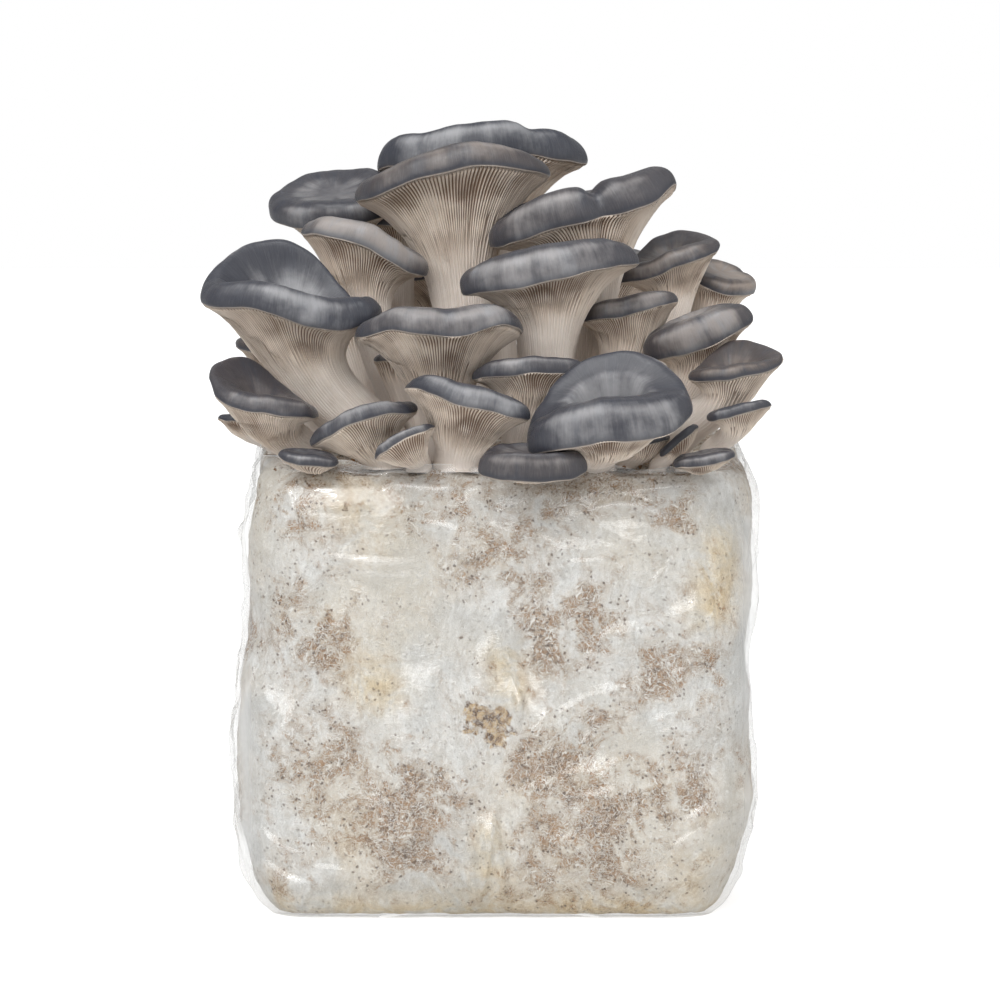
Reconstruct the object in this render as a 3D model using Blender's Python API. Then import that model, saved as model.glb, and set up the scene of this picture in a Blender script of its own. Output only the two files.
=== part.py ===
"""Oyster mushroom grow kit: a clear film bag round a block of straw and sawdust that white
mycelium has bound together, with a cluster of oyster mushrooms standing out of its open mouth.

Metres, +Z up. The origin is on the surface the kit stands on, under the middle of the block.
The kit's front, where the cluster leans out, faces -Y. Each mushroom is one grown piece, cap
and stem together, standing on the block's sloping top.
"""

import math
from collections import namedtuple

import bmesh
import bpy
from mathutils import Vector

# ---- Driving dimensions of the bag and its block

BAG_WIDTH = 0.205
BAG_DEPTH = 0.127
CORNER_RADIUS = 0.030
FILM = 0.0005
GAP = 0.0003
BLOCK_INSET = FILM + GAP + 0.0003
TOP_MIDDLE = 0.181
TOP_SLOPE = 0.14
BAG_SIDES = 32

# Each level of the bag's outer wall, from the floor up: its share of the height of the block's
# top there, and its inward step.
BAG_LEVELS = (
    (0.00, 0.0125),
    (0.02, 0.0085),
    (0.08, 0.0035),
    (0.18, 0.0000),
    (0.40, 0.0000),
    (0.64, 0.0020),
    (0.84, 0.0010),
    (0.94, 0.0020),
)
SHOULDER_DROP = 0.0035
SHOULDER_INSET = 0.0040
MOUTH_INSET = 0.0080
COLLAR = 0.0070

# ---- The cluster

Mushroom = namedtuple(
    "Mushroom",
    "name foot hub reach back half_width stem face tip roll lip dish flare rise hang lobes",
    defaults=(-90.0, 0.0, 0.0, 0.25, 0.5, 0.36, 0.40, 0.40, ()),
)
# foot: where the stem stands on the block's top (x, y). hub: the middle of the cap's edge.
# reach, back, half_width: from the hub to the cap's edge, to its front, back and sides.
# face: compass angle of the cap's front, tip: how far the front dips, roll: how far its own
# right side is raised. lip, dish and flare are shares of half_width: the height of the rolled
# edge, the depth of the hollow in the cap, and how soon the gills sweep in to the stem.
# lobes: (angle from the front, spread, outward share, upward share of half_width).


CLUSTER = (
    # crown
    Mushroom("mushroom_crown_back", (0.000, 0.038), (-0.007, 0.059, 0.2960), 0.024, 0.020, 0.0425, 0.0095,
             roll=3, lip=0.30, lobes=((0, 55, 0.0, 0.12), (58, 14, -0.07, 0.0), (95, 26, 0.03, -0.04))),
    Mushroom("mushroom_crown_front", (-0.012, 0.020), (-0.018, 0.024, 0.2840), 0.032, 0.010, 0.0390, 0.0100,
             roll=8, tip=-5, flare=0.40, lobes=((5, 50, 0.0, 0.20),)),
    Mushroom("mushroom_upper_right", (0.036, 0.021), (0.034, 0.0055, 0.2700), 0.022, 0.016, 0.0385, 0.0098,
             roll=17, lip=0.30, flare=0.34,
             lobes=((22, 13, -0.16, 0.03), (-35, 32, 0.0, 0.10), (-150, 45, 0.0, 0.20), (75, 28, 0.04, 0.14))),
    Mushroom("mushroom_upper_left_back", (-0.038, 0.034), (-0.066, 0.045, 0.2790), 0.020, 0.019, 0.0280, 0.0070,
             face=-105, tip=26, lobes=((-60, 30, 0.02, -0.06), (180, 50, 0.05, 0.12))),
    Mushroom("mushroom_upper_middle_back", (-0.0370, 0.0505), (-0.0370, 0.0490, 0.2655), 0.012, 0.007, 0.0130,
             0.0045, tip=4, lip=0.30, flare=0.50),
    Mushroom("mushroom_upper_left", (-0.038, 0.010), (-0.053, 0.008, 0.2590), 0.019, 0.013, 0.0265, 0.0080,
             roll=-19, lip=0.30, lobes=((-10, 45, 0.0, 0.16),)),
    # left side
    Mushroom("mushroom_left_big", (-0.046, -0.016), (-0.079, -0.024, 0.2410), 0.028, 0.013, 0.0350, 0.0115,
             roll=-6, tip=3, lip=0.28, dish=0.9, flare=0.30, rise=0.20, hang=0.55,
             lobes=((-165, 50, 0.14, 0.50), (128, 34, -0.08, -0.20), (-70, 25, 0.06, -0.06), (35, 30, 0.0, -0.12))),
    Mushroom("mushroom_left_back", (-0.072, 0.014), (-0.091, 0.012, 0.2220), 0.014, 0.012, 0.0145, 0.0060,
             tip=10),
    Mushroom("mushroom_left_low", (-0.076, -0.032), (-0.089, -0.047, 0.1990), 0.017, 0.015, 0.0205, 0.0075,
             roll=-9, dish=1.0, lobes=((-150, 48, 0.22, 0.75), (-100, 30, 0.10, 0.25))),
    Mushroom("mushroom_left_dark", (-0.087, -0.012), (-0.101, -0.018, 0.1930), 0.009, 0.007, 0.0090, 0.0035),
    Mushroom("mushroom_left_bud", (-0.066, -0.047), (-0.072, -0.062, 0.1800), 0.008, 0.006, 0.0115, 0.0032,
             roll=-8, tip=14),
    Mushroom("mushroom_inner_left", (-0.028, -0.006), (-0.038, -0.008, 0.2160), 0.009, 0.008, 0.0110, 0.0070),
    # middle
    Mushroom("mushroom_centre", (0.018, -0.018), (0.019, -0.025, 0.2510), 0.025, 0.011, 0.0345, 0.0105,
             roll=11, lip=0.30, flare=0.26, lobes=((90, 25, 0.04, -0.05),)),
    Mushroom("mushroom_centre_left", (-0.022, -0.028), (-0.0225, -0.041, 0.2290), 0.024, 0.010, 0.0318, 0.0092,
             roll=4, flare=0.42, lobes=((-35, 25, 0.0, 0.12), (50, 22, 0.04, 0.07), (95, 20, 0.0, -0.08))),
    Mushroom("mushroom_centre_small", (0.008, -0.036), (0.0135, -0.0465, 0.2110), 0.013, 0.006, 0.0230, 0.0068,
             roll=2, flare=0.28, lobes=((0, 60, 0.0, 0.14),)),
    # right side
    Mushroom("mushroom_right_centre", (0.042, -0.002), (0.052, -0.006, 0.2360), 0.016, 0.008, 0.0205, 0.0090,
             roll=12, flare=0.42),
    Mushroom("mushroom_right_middle", (0.064, -0.009), (0.079, -0.019, 0.2270), 0.014, 0.010, 0.0228, 0.0075,
             roll=21, tip=14, lip=0.38),
    Mushroom("mushroom_right_upper", (0.054, 0.020), (0.071, 0.023, 0.2550), 0.016, 0.012, 0.0200, 0.0070,
             roll=20, tip=6, dish=0.9, lobes=((180, 50, 0.05, 0.44), (-95, 28, 0.40, 0.06))),
    Mushroom("mushroom_far_right_back", (0.073, 0.028), (0.0910, 0.0425, 0.2480), 0.014, 0.013, 0.0165, 0.0075,
             face=-45, tip=28),
    Mushroom("mushroom_right_lower", (0.067, -0.031), (0.090, -0.042, 0.2110), 0.012, 0.012, 0.0155, 0.0070,
             roll=6, dish=1.0, lobes=((160, 60, 0.12, 0.80), (90, 35, 0.36, 0.10))),
    Mushroom("mushroom_right_small", (0.081, -0.040), (0.093, -0.056, 0.1975), 0.009, 0.008, 0.0125, 0.0042,
             roll=14),
    Mushroom("mushroom_right_bud", (0.073, -0.047), (0.079, -0.066, 0.1800), 0.008, 0.006, 0.0120, 0.0033,
             roll=10, tip=12),
    Mushroom("mushroom_under_right", (0.050, -0.040), (0.058, -0.045, 0.1850), 0.007, 0.005, 0.0090, 0.0042,
             roll=12),
    Mushroom("mushroom_under_right_dark", (0.062, -0.046), (0.070, -0.053, 0.1860), 0.006, 0.005, 0.0090, 0.0033,
             roll=40),
    # front row
    Mushroom("mushroom_front_right_big", (0.036, -0.044), (0.043, -0.068, 0.1945), 0.022, 0.014, 0.0310, 0.0088,
             roll=8, tip=10, lip=0.36, dish=1.0, flare=0.24,
             lobes=((170, 60, 0.10, 0.68), (-85, 28, 0.04, -0.12))),
    Mushroom("mushroom_front_low", (0.014, -0.0485), (0.0135, -0.0735, 0.1790), 0.012, 0.007, 0.0205, 0.0052,
             tip=22, lip=0.20, flare=0.20, rise=0.70),
    Mushroom("mushroom_front_left_centre", (-0.015, -0.045), (-0.011, -0.062, 0.2020), 0.018, 0.008, 0.0245,
             0.0090, roll=-13, flare=0.42, lobes=((-45, 30, 0.0, 0.10),)),
    Mushroom("mushroom_front_left", (-0.044, -0.041), (-0.051, -0.053, 0.1920), 0.016, 0.009, 0.0215, 0.0072,
             roll=19, flare=0.44, lobes=((-5, 55, 0.0, 0.20),)),
    Mushroom("mushroom_front_left_small", (-0.030, -0.048), (-0.035, -0.066, 0.1860), 0.009, 0.006, 0.0130,
             0.0048, roll=28, lobes=((0, 60, 0.0, 0.20),)),
    # far side
    Mushroom("mushroom_rear_left", (-0.054, 0.041), (-0.062, 0.062, 0.2320), 0.022, 0.010, 0.0240, 0.0085,
             face=110, lobes=((0, 50, 0.0, 0.12),)),
    Mushroom("mushroom_rear_middle", (-0.022, 0.043), (-0.018, 0.072, 0.2500), 0.024, 0.010, 0.0300, 0.0090,
             face=90, roll=-6, flare=0.40, lobes=((-30, 30, 0.04, 0.12),)),
    Mushroom("mushroom_rear_right", (0.036, 0.043), (0.046, 0.068, 0.2520), 0.024, 0.012, 0.0270, 0.0092,
             face=80, roll=8, lobes=((25, 16, -0.10, 0.0), (-20, 40, 0.0, 0.10))),
    Mushroom("mushroom_rear_far_right", (0.060, 0.042), (0.078, 0.060, 0.2170), 0.018, 0.010, 0.0200, 0.0070,
             face=55, roll=-8),
    Mushroom("mushroom_rear_low_left", (-0.071, 0.035), (-0.083, 0.049, 0.2060), 0.014, 0.009, 0.0160, 0.0060,
             face=125, roll=10),
    Mushroom("mushroom_rear_low_middle", (0.018, 0.0405), (0.013, 0.059, 0.2140), 0.017, 0.009, 0.0180, 0.0062,
             face=90, lobes=((0, 55, 0.0, 0.15),)),
)

COLOURS = {
    "film": ((0.86, 0.88, 0.88, 1.0), 0.15),
    "mycelium": ((0.78, 0.76, 0.72, 1.0), 0.85),
    "mushroom": ((0.42, 0.41, 0.41, 1.0), 0.55),
}


def clear_scene():
    for obj in list(bpy.data.objects):
        bpy.data.objects.remove(obj, do_unlink=True)


def finish(name):
    """The Principled material with this finish's colour and roughness, made once."""
    made = bpy.data.materials.get(name)
    if made is None:
        made = bpy.data.materials.new(name)
        made.use_nodes = True
        shader = made.node_tree.nodes["Principled BSDF"]
        shader.inputs["Base Color"].default_value, shader.inputs["Roughness"].default_value = COLOURS[name]
    return made


def skin(bm, rings):
    """Faces between each ring of points and the next; a ring of one point ends in a fan.
    Returns the rings' vertices."""
    loops = [[bm.verts.new(point) for point in ring] for ring in rings]
    for lower, upper in zip(loops, loops[1:]):
        for i in range(max(len(lower), len(upper))):
            j = i + 1
            corners = [lower[i % len(lower)], lower[j % len(lower)], upper[j % len(upper)], upper[i % len(upper)]]
            bm.faces.new(list(dict.fromkeys(corners)))
    return loops


def link(name, bm, material, smooth_angle):
    """The finished body as a named object, smooth but for its sharp edges."""
    bmesh.ops.recalc_face_normals(bm, faces=bm.faces)
    mesh = bpy.data.meshes.new(name)
    bm.to_mesh(mesh)
    bm.free()
    mesh.shade_smooth()
    mesh.set_sharp_from_angle(angle=math.radians(smooth_angle))
    mesh.materials.append(finish(material))
    bpy.context.scene.collection.objects.link(bpy.data.objects.new(name, mesh))


# ---- Bag and block


def top_height(y):
    """Height of the block's flat, sloping top at this depth."""
    return TOP_MIDDLE + TOP_SLOPE * y


def outline(inset):
    """The bag's rounded-rectangle outline seen from above, drawn in by inset."""
    half_x, half_y = BAG_WIDTH / 2 - inset, BAG_DEPTH / 2 - inset
    radius = max(CORNER_RADIUS - inset, 0.006)
    per_corner = BAG_SIDES // 4
    points = []
    for corner in range(4):
        sign_x = 1 if corner in (0, 3) else -1
        sign_y = 1 if corner < 2 else -1
        for step in range(per_corner):
            angle = math.radians(90 * (corner + step / (per_corner - 1)))
            x = sign_x * (half_x - radius) + radius * math.cos(angle)
            y = sign_y * (half_y - radius) + radius * math.sin(angle)
            points.append((x, y))
    return points


def wall_levels(inset, collar=0.0):
    """Rings up the wall and in over the shoulder, drawn in by inset all round. The last ring is
    the mouth, standing above the block's top by collar at the back and not at all at the front."""
    rings = [[Vector((x, y, share * top_height(y) + (inset if share == 0 else 0)))
              for x, y in outline(step + inset)] for share, step in BAG_LEVELS]
    rings.append([Vector((x, y, top_height(y) - SHOULDER_DROP - inset))
                  for x, y in outline(SHOULDER_INSET + inset)])
    rings.append([Vector((x, y, top_height(y) - inset + collar * min(max((y + 0.02) / 0.07, 0), 1)))
                  for x, y in outline(MOUTH_INSET + inset)])
    return rings


def make_block():
    bm = bmesh.new()
    loops = skin(bm, wall_levels(BLOCK_INSET))
    bm.faces.new(loops[0])
    bm.faces.new(loops[-1])
    link("substrate_block", bm, "mycelium", 30.0)


def make_bag():
    bm = bmesh.new()
    outside = skin(bm, wall_levels(0.0, COLLAR))
    inside = skin(bm, wall_levels(FILM, COLLAR))
    bm.faces.new(outside[0])
    bm.faces.new(inside[0])
    for i in range(BAG_SIDES):
        j = (i + 1) % BAG_SIDES
        bm.faces.new((outside[-1][i], outside[-1][j], inside[-1][j], inside[-1][i]))
    link("grow_bag", bm, "film", 30.0)


# ---- Mushrooms

# Shares of the way from stem to cap edge, for the rings under the cap, from the stem out.
GILL_SHARES = (0.05, 0.20, 0.45, 0.80)
# (share of the cap's radius, height above its edge in lips) for the rings from edge to crown.
CAP_RINGS = ((1.00, -0.35), (0.97, 0.40), (0.80, 0.95), (0.42, 0.62))


def cap_axes(mushroom):
    """Front, side and upward axes of a cap, tipped and rolled."""
    face, tip, roll = (math.radians(a) for a in (mushroom.face, mushroom.tip, mushroom.roll))
    level = Vector((math.cos(face), math.sin(face), 0))
    side = Vector((-math.sin(face), math.cos(face), 0))
    front = level * math.cos(tip) - Vector((0, 0, math.sin(tip)))
    up = level * math.sin(tip) + Vector((0, 0, math.cos(tip)))
    return front, side * math.cos(roll) + up * math.sin(roll), up * math.cos(roll) - side * math.sin(roll)


def cap_edge(mushroom, angle):
    """The cap's edge at this angle from its front, in its own axes: forward, sideways, up."""
    out, up = 1.0, 0.0
    for centre, spread, outward, upward in mushroom.lobes:
        away = (math.degrees(angle) - centre + 180) % 360 - 180
        bump = math.exp(-((away / spread) ** 2))
        out += outward * bump
        up += upward * bump
    middle = (mushroom.reach - mushroom.back) / 2
    forward = middle + (mushroom.reach + mushroom.back) / 2 * math.cos(angle)
    return Vector((forward * out, mushroom.half_width * math.sin(angle) * out, up * mushroom.half_width))


def bezier(ends, t):
    a, b, c, d = ends
    s = 1 - t
    point = a * s**3 + b * 3 * s * s * t + c * 3 * s * t * t + d * t**3
    slope = (b - a) * 3 * s * s + (c - b) * 6 * s * t + (d - c) * 3 * t * t
    return point, slope.normalized()


def make_mushroom(mushroom):
    front, side, up = cap_axes(mushroom)
    size = mushroom.half_width
    sides = 14 if size > 0.03 else 12 if size > 0.016 else 10
    angles = [2 * math.pi * i / sides for i in range(sides)]
    foot = Vector((*mushroom.foot, top_height(mushroom.foot[1]) + GAP))
    hub = Vector(mushroom.hub)
    length = (hub - foot).length
    ends = (foot, foot + Vector((0, 0, mushroom.rise * length)),
            hub - (up + Vector((0, 0, 1))) * 0.5 * mushroom.hang * length, hub)
    flare = min(mushroom.flare * size, length / 3.4)
    edges = [cap_edge(mushroom, angle) for angle in angles]

    def ring(t, share, lift=0.0):
        middle, along = bezier(ends, t)
        across = (side - along * side.dot(along)).normalized()
        forth = across.cross(along)
        points = []
        for angle, edge in zip(angles, edges):
            stalk = (forth * math.cos(angle) + across * math.sin(angle)) * mushroom.stem
            rim = front * edge.x + side * edge.y + up * (edge.z + lift)
            points.append(middle + stalk * (1 - share) + rim * share)
        return points

    gill_steps = [(1 + flare * math.log(share) / length, share) for share in GILL_SHARES]
    rings = [ring(0.0, 0.0), ring(gill_steps[0][0] / 2, 0.0)]
    rings += [ring(t, share) for t, share in gill_steps]
    for point in rings[0]:
        point.z = top_height(point.y) + GAP
    lip = mushroom.lip * size
    for share, height in CAP_RINGS:
        rings.append([hub + front * e.x * share + side * e.y * share + up * (e.z * share**2 + height * lip)
                      for e in edges])
    rings.append([hub + up * lip * (1 - mushroom.dish)])
    bm = bmesh.new()
    bm.faces.new(skin(bm, rings)[0])
    link(mushroom.name, bm, "mushroom", 60.0)


clear_scene()
make_block()
make_bag()
for each in CLUSTER:
    make_mushroom(each)
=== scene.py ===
"""Looks of an oyster mushroom grow kit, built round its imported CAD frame.

A block of straw and sawdust matted with white mycelium fills a creased clear film bag, and a
cluster of grey oyster mushrooms leans out of the bag's open mouth. Metres, +Z up, front to -Y.
"""

import math
import random
from collections import namedtuple

import bpy
import numpy as np
from bpy.props import FloatProperty, FloatVectorProperty, IntProperty, PointerProperty
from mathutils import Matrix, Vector


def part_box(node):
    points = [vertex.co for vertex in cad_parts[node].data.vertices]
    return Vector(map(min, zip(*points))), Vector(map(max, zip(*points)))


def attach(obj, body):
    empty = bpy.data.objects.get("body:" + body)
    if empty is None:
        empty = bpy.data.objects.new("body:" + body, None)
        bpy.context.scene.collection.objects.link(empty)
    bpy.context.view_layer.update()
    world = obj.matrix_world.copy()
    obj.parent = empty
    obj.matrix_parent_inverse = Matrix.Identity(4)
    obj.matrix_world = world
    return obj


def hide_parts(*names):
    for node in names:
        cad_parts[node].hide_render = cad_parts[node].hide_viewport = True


bl_info = {
    "name": "Oyster Mushroom Grow Kit",
    "version": (1, 0, 0),
    "blender": (4, 5, 0),
    "location": "3D View > Sidebar > Grow Kit",
    "description": "Models a bagged mycelium block with oyster mushrooms growing out of it",
    "category": "Add Mesh",
}

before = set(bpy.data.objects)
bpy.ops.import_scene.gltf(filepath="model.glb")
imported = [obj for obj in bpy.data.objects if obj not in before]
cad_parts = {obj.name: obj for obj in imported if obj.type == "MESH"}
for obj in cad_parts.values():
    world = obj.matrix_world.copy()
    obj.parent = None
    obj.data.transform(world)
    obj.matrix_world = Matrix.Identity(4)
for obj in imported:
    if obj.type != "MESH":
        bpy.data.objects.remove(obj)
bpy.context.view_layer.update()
BAG_LOW, BAG_HIGH = (Vector(corner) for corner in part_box("grow_bag"))

# ---- Bag and block: the sizes that also drive the CAD part

CORNER_RADIUS = 0.030
TOP_MIDDLE = 0.181
TOP_SLOPE = 0.14
# (share of the height of the block's top, inward step of the wall)
WALL = ((0.0, 0.0125), (0.02, 0.0085), (0.08, 0.0035), (0.18, 0.0), (0.40, 0.0), (0.64, 0.0015), (0.84, 0.0008),
        (0.94, 0.0020), (0.975, 0.0040), (1.0, 0.0085))
# (height, outward bulge) of the bag's left and right sides
LEFT_BULGE = ((0.0, -0.001), (0.03, 0.0), (0.07, 0.001), (0.10, -0.001), (0.127, -0.003), (0.148, -0.0015),
              (0.164, -0.0045), (0.179, -0.001), (0.20, 0.0))
RIGHT_BULGE = ((0.0, -0.0045), (0.012, -0.0030), (0.03, -0.001), (0.045, 0.0002), (0.056, -0.0012), (0.067, -0.0022),
               (0.086, 0.0), (0.098, -0.0010), (0.117, 0.0002), (0.13, -0.0002), (0.165, 0.0004), (0.18, 0.0006),
               (0.20, 0.0))

# ---- Mushrooms. Six of them differ a little from the CAD part, in height, lip, hollow or lobes:
# crown_back, upper_right, upper_middle_back, left_big, front_right_big and front_low.

Mushroom = namedtuple(
    "Mushroom",
    "name foot hub reach back half_width stem face tip roll lip dish flare rise hang lobes",
    defaults=(-90.0, 0.0, 0.0, 0.25, 0.5, 0.36, 0.40, 0.40, ()),
)
# foot: where the stem stands on the block's top (x, y). hub: the middle of the cap's edge.
# reach, back, half_width: from the hub to the cap's edge, to its front, back and sides.
# face: compass angle of the cap's front, tip: how far the front dips, roll: how far its own
# right side is raised. lip, dish and flare are shares of half_width. lobes: (angle from the
# front, spread, outward share, upward share of half_width).
CLUSTER = (
    # crown
    Mushroom("mushroom_crown_back", (0.000, 0.038), (-0.007, 0.059, 0.2960), 0.024, 0.020, 0.0425, 0.0095,
             roll=3, lip=0.30, lobes=((0, 55, 0.0, 0.12), (36, 10, -0.07, 0.0), (95, 26, 0.03, -0.04))),
    Mushroom("mushroom_crown_front", (-0.012, 0.020), (-0.018, 0.024, 0.2840), 0.032, 0.010, 0.0390, 0.0100,
             roll=8, tip=-5, flare=0.40, lobes=((5, 50, 0.0, 0.20),)),
    Mushroom("mushroom_upper_right", (0.036, 0.021), (0.034, 0.0055, 0.2720), 0.022, 0.016, 0.0385, 0.0098,
             roll=17, lip=0.30, flare=0.34,
             lobes=((14, 8, -0.14, 0.0), (-35, 32, 0.0, 0.10), (-150, 45, 0.0, 0.20), (75, 28, 0.04, 0.14))),
    Mushroom("mushroom_upper_left_back", (-0.038, 0.034), (-0.066, 0.045, 0.2790), 0.020, 0.019, 0.0280, 0.0070,
             face=-105, tip=26, lobes=((-60, 30, 0.02, -0.06), (180, 50, 0.05, 0.12))),
    Mushroom("mushroom_upper_middle_back", (-0.0370, 0.0505), (-0.0400, 0.0500, 0.2710), 0.012, 0.007, 0.0140,
             0.0050, tip=4, lip=0.30, flare=0.50),
    Mushroom("mushroom_upper_left", (-0.038, 0.010), (-0.053, 0.008, 0.2590), 0.019, 0.013, 0.0265, 0.0080,
             roll=-19, lip=0.30, lobes=((-10, 45, 0.0, 0.16),)),
    # left side
    Mushroom("mushroom_left_big", (-0.046, -0.016), (-0.079, -0.024, 0.2410), 0.028, 0.013, 0.0350, 0.0115,
             roll=-6, tip=8, lip=0.25, dish=1.5, flare=0.30, rise=0.20, hang=0.55,
             lobes=((-165, 50, 0.14, 0.50), (128, 34, -0.08, -0.20), (-70, 25, 0.06, -0.06), (35, 30, 0.0, -0.12))),
    Mushroom("mushroom_left_back", (-0.072, 0.014), (-0.091, 0.012, 0.2220), 0.014, 0.012, 0.0145, 0.0060,
             tip=10),
    Mushroom("mushroom_left_low", (-0.076, -0.032), (-0.089, -0.047, 0.1990), 0.017, 0.015, 0.0205, 0.0075,
             roll=-9, dish=1.0, lobes=((-150, 48, 0.22, 0.75), (-100, 30, 0.10, 0.25))),
    Mushroom("mushroom_left_dark", (-0.087, -0.012), (-0.101, -0.018, 0.1930), 0.009, 0.007, 0.0090, 0.0035),
    Mushroom("mushroom_left_bud", (-0.066, -0.047), (-0.072, -0.062, 0.1800), 0.008, 0.006, 0.0115, 0.0032,
             roll=-8, tip=14),
    Mushroom("mushroom_inner_left", (-0.028, -0.006), (-0.038, -0.008, 0.2160), 0.009, 0.008, 0.0110, 0.0070),
    # middle
    Mushroom("mushroom_centre", (0.018, -0.018), (0.019, -0.025, 0.2510), 0.025, 0.011, 0.0345, 0.0105,
             roll=11, lip=0.30, flare=0.26, lobes=((90, 25, 0.04, -0.05),)),
    Mushroom("mushroom_centre_left", (-0.022, -0.028), (-0.0225, -0.041, 0.2290), 0.024, 0.010, 0.0318, 0.0092,
             roll=4, flare=0.42, lobes=((-35, 25, 0.0, 0.12), (50, 22, 0.04, 0.07), (95, 20, 0.0, -0.08))),
    Mushroom("mushroom_centre_small", (0.008, -0.036), (0.0135, -0.0465, 0.2110), 0.013, 0.006, 0.0230, 0.0068,
             roll=2, flare=0.28, lobes=((0, 60, 0.0, 0.14),)),
    # right side
    Mushroom("mushroom_right_centre", (0.042, -0.002), (0.052, -0.006, 0.2360), 0.016, 0.008, 0.0205, 0.0090,
             roll=12, flare=0.42),
    Mushroom("mushroom_right_middle", (0.064, -0.009), (0.079, -0.019, 0.2270), 0.014, 0.010, 0.0228, 0.0075,
             roll=21, tip=14, lip=0.38),
    Mushroom("mushroom_right_upper", (0.054, 0.020), (0.071, 0.023, 0.2550), 0.016, 0.012, 0.0200, 0.0070,
             roll=20, tip=6, dish=0.9, lobes=((180, 50, 0.05, 0.44), (-95, 28, 0.40, 0.06))),
    Mushroom("mushroom_far_right_back", (0.073, 0.028), (0.0910, 0.0425, 0.2480), 0.014, 0.013, 0.0165, 0.0075,
             face=-45, tip=28),
    Mushroom("mushroom_right_lower", (0.067, -0.031), (0.090, -0.042, 0.2110), 0.012, 0.012, 0.0155, 0.0070,
             roll=6, dish=1.0, lobes=((160, 60, 0.12, 0.80), (90, 35, 0.36, 0.10))),
    Mushroom("mushroom_right_small", (0.081, -0.040), (0.093, -0.056, 0.1975), 0.009, 0.008, 0.0125, 0.0042,
             roll=14),
    Mushroom("mushroom_right_bud", (0.073, -0.047), (0.079, -0.066, 0.1800), 0.008, 0.006, 0.0120, 0.0033,
             roll=10, tip=12),
    Mushroom("mushroom_under_right", (0.050, -0.040), (0.058, -0.045, 0.1850), 0.007, 0.005, 0.0090, 0.0042,
             roll=12),
    Mushroom("mushroom_under_right_dark", (0.062, -0.046), (0.070, -0.053, 0.1860), 0.006, 0.005, 0.0090, 0.0033,
             roll=40),
    # front row
    Mushroom("mushroom_front_right_big", (0.036, -0.044), (0.043, -0.068, 0.1945), 0.022, 0.014, 0.0310, 0.0088,
             roll=8, tip=10, lip=0.38, dish=1.45, flare=0.24,
             lobes=((170, 60, 0.10, 0.68), (-85, 28, 0.04, -0.12))),
    Mushroom("mushroom_front_low", (0.014, -0.0485), (0.0135, -0.0735, 0.1790), 0.012, 0.007, 0.0205, 0.0052,
             tip=22, lip=0.40, dish=0.6, flare=0.20, rise=0.70),
    Mushroom("mushroom_front_left_centre", (-0.015, -0.045), (-0.011, -0.062, 0.2020), 0.018, 0.008, 0.0245,
             0.0090, roll=-13, flare=0.42, lobes=((-45, 30, 0.0, 0.10),)),
    Mushroom("mushroom_front_left", (-0.044, -0.041), (-0.051, -0.053, 0.1920), 0.016, 0.009, 0.0215, 0.0072,
             roll=19, flare=0.44, lobes=((-5, 55, 0.0, 0.20),)),
    Mushroom("mushroom_front_left_small", (-0.030, -0.048), (-0.035, -0.066, 0.1860), 0.009, 0.006, 0.0130,
             0.0048, roll=28, lobes=((0, 60, 0.0, 0.20),)),
    # far side
    Mushroom("mushroom_rear_left", (-0.054, 0.041), (-0.062, 0.062, 0.2320), 0.022, 0.010, 0.0240, 0.0085,
             face=110, lobes=((0, 50, 0.0, 0.12),)),
    Mushroom("mushroom_rear_middle", (-0.022, 0.043), (-0.018, 0.072, 0.2500), 0.024, 0.010, 0.0300, 0.0090,
             face=90, roll=-6, flare=0.40, lobes=((-30, 30, 0.04, 0.12),)),
    Mushroom("mushroom_rear_right", (0.036, 0.043), (0.046, 0.068, 0.2520), 0.024, 0.012, 0.0270, 0.0092,
             face=80, roll=8, lobes=((25, 16, -0.10, 0.0), (-20, 40, 0.0, 0.10))),
    Mushroom("mushroom_rear_far_right", (0.060, 0.042), (0.078, 0.060, 0.2170), 0.018, 0.010, 0.0200, 0.0070,
             face=55, roll=-8),
    Mushroom("mushroom_rear_low_left", (-0.071, 0.035), (-0.083, 0.049, 0.2060), 0.014, 0.009, 0.0160, 0.0060,
             face=125, roll=10),
    Mushroom("mushroom_rear_low_middle", (0.018, 0.0405), (0.013, 0.059, 0.2140), 0.017, 0.009, 0.0180, 0.0062,
             face=90, lobes=((0, 55, 0.0, 0.15),)),
)

# How dark and how brown each cap's skin is, and the share of its radius that its hollow takes.
LOOKS = {
    "crown_back": (0.50, 0.05, 0.86), "crown_front": (0.55, 0.75, 0.60), "upper_right": (0.52, 0.40, 0.62),
    "upper_left_back": (0.55, 0.25, 0.78), "upper_left": (0.16, 0.60, 0.62), "left_big": (0.44, 0.10, 0.86),
    "left_back": (0.50, 0.90, 0.60), "left_low": (0.55, 0.50, 0.60), "left_dark": (1.10, 0.10, 0.60),
    "left_bud": (0.50, 0.25, 0.60), "inner_left": (0.30, 0.60, 0.60), "centre": (0.44, 0.32, 0.60),
    "centre_left": (0.34, 0.40, 0.60), "centre_small": (0.55, 0.30, 0.60), "right_centre": (0.46, 0.60, 0.60),
    "right_middle": (0.38, 0.60, 0.50), "right_upper": (0.46, 0.70, 0.70), "far_right_back": (0.30, 1.00, 0.75),
    "right_lower": (0.62, 1.00, 0.70), "right_small": (0.55, 0.20, 0.60), "right_bud": (0.40, 0.30, 0.60),
    "under_right": (0.60, 0.20, 0.60), "under_right_dark": (1.00, 0.10, 0.60), "front_right_big": (0.42, 0.15, 0.54),
    "front_low": (0.62, 0.50, 0.80), "front_left_centre": (0.38, 0.10, 0.60), "front_left": (0.42, 0.20, 0.60),
    "front_left_small": (0.42, 0.20, 0.60),
}
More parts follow.
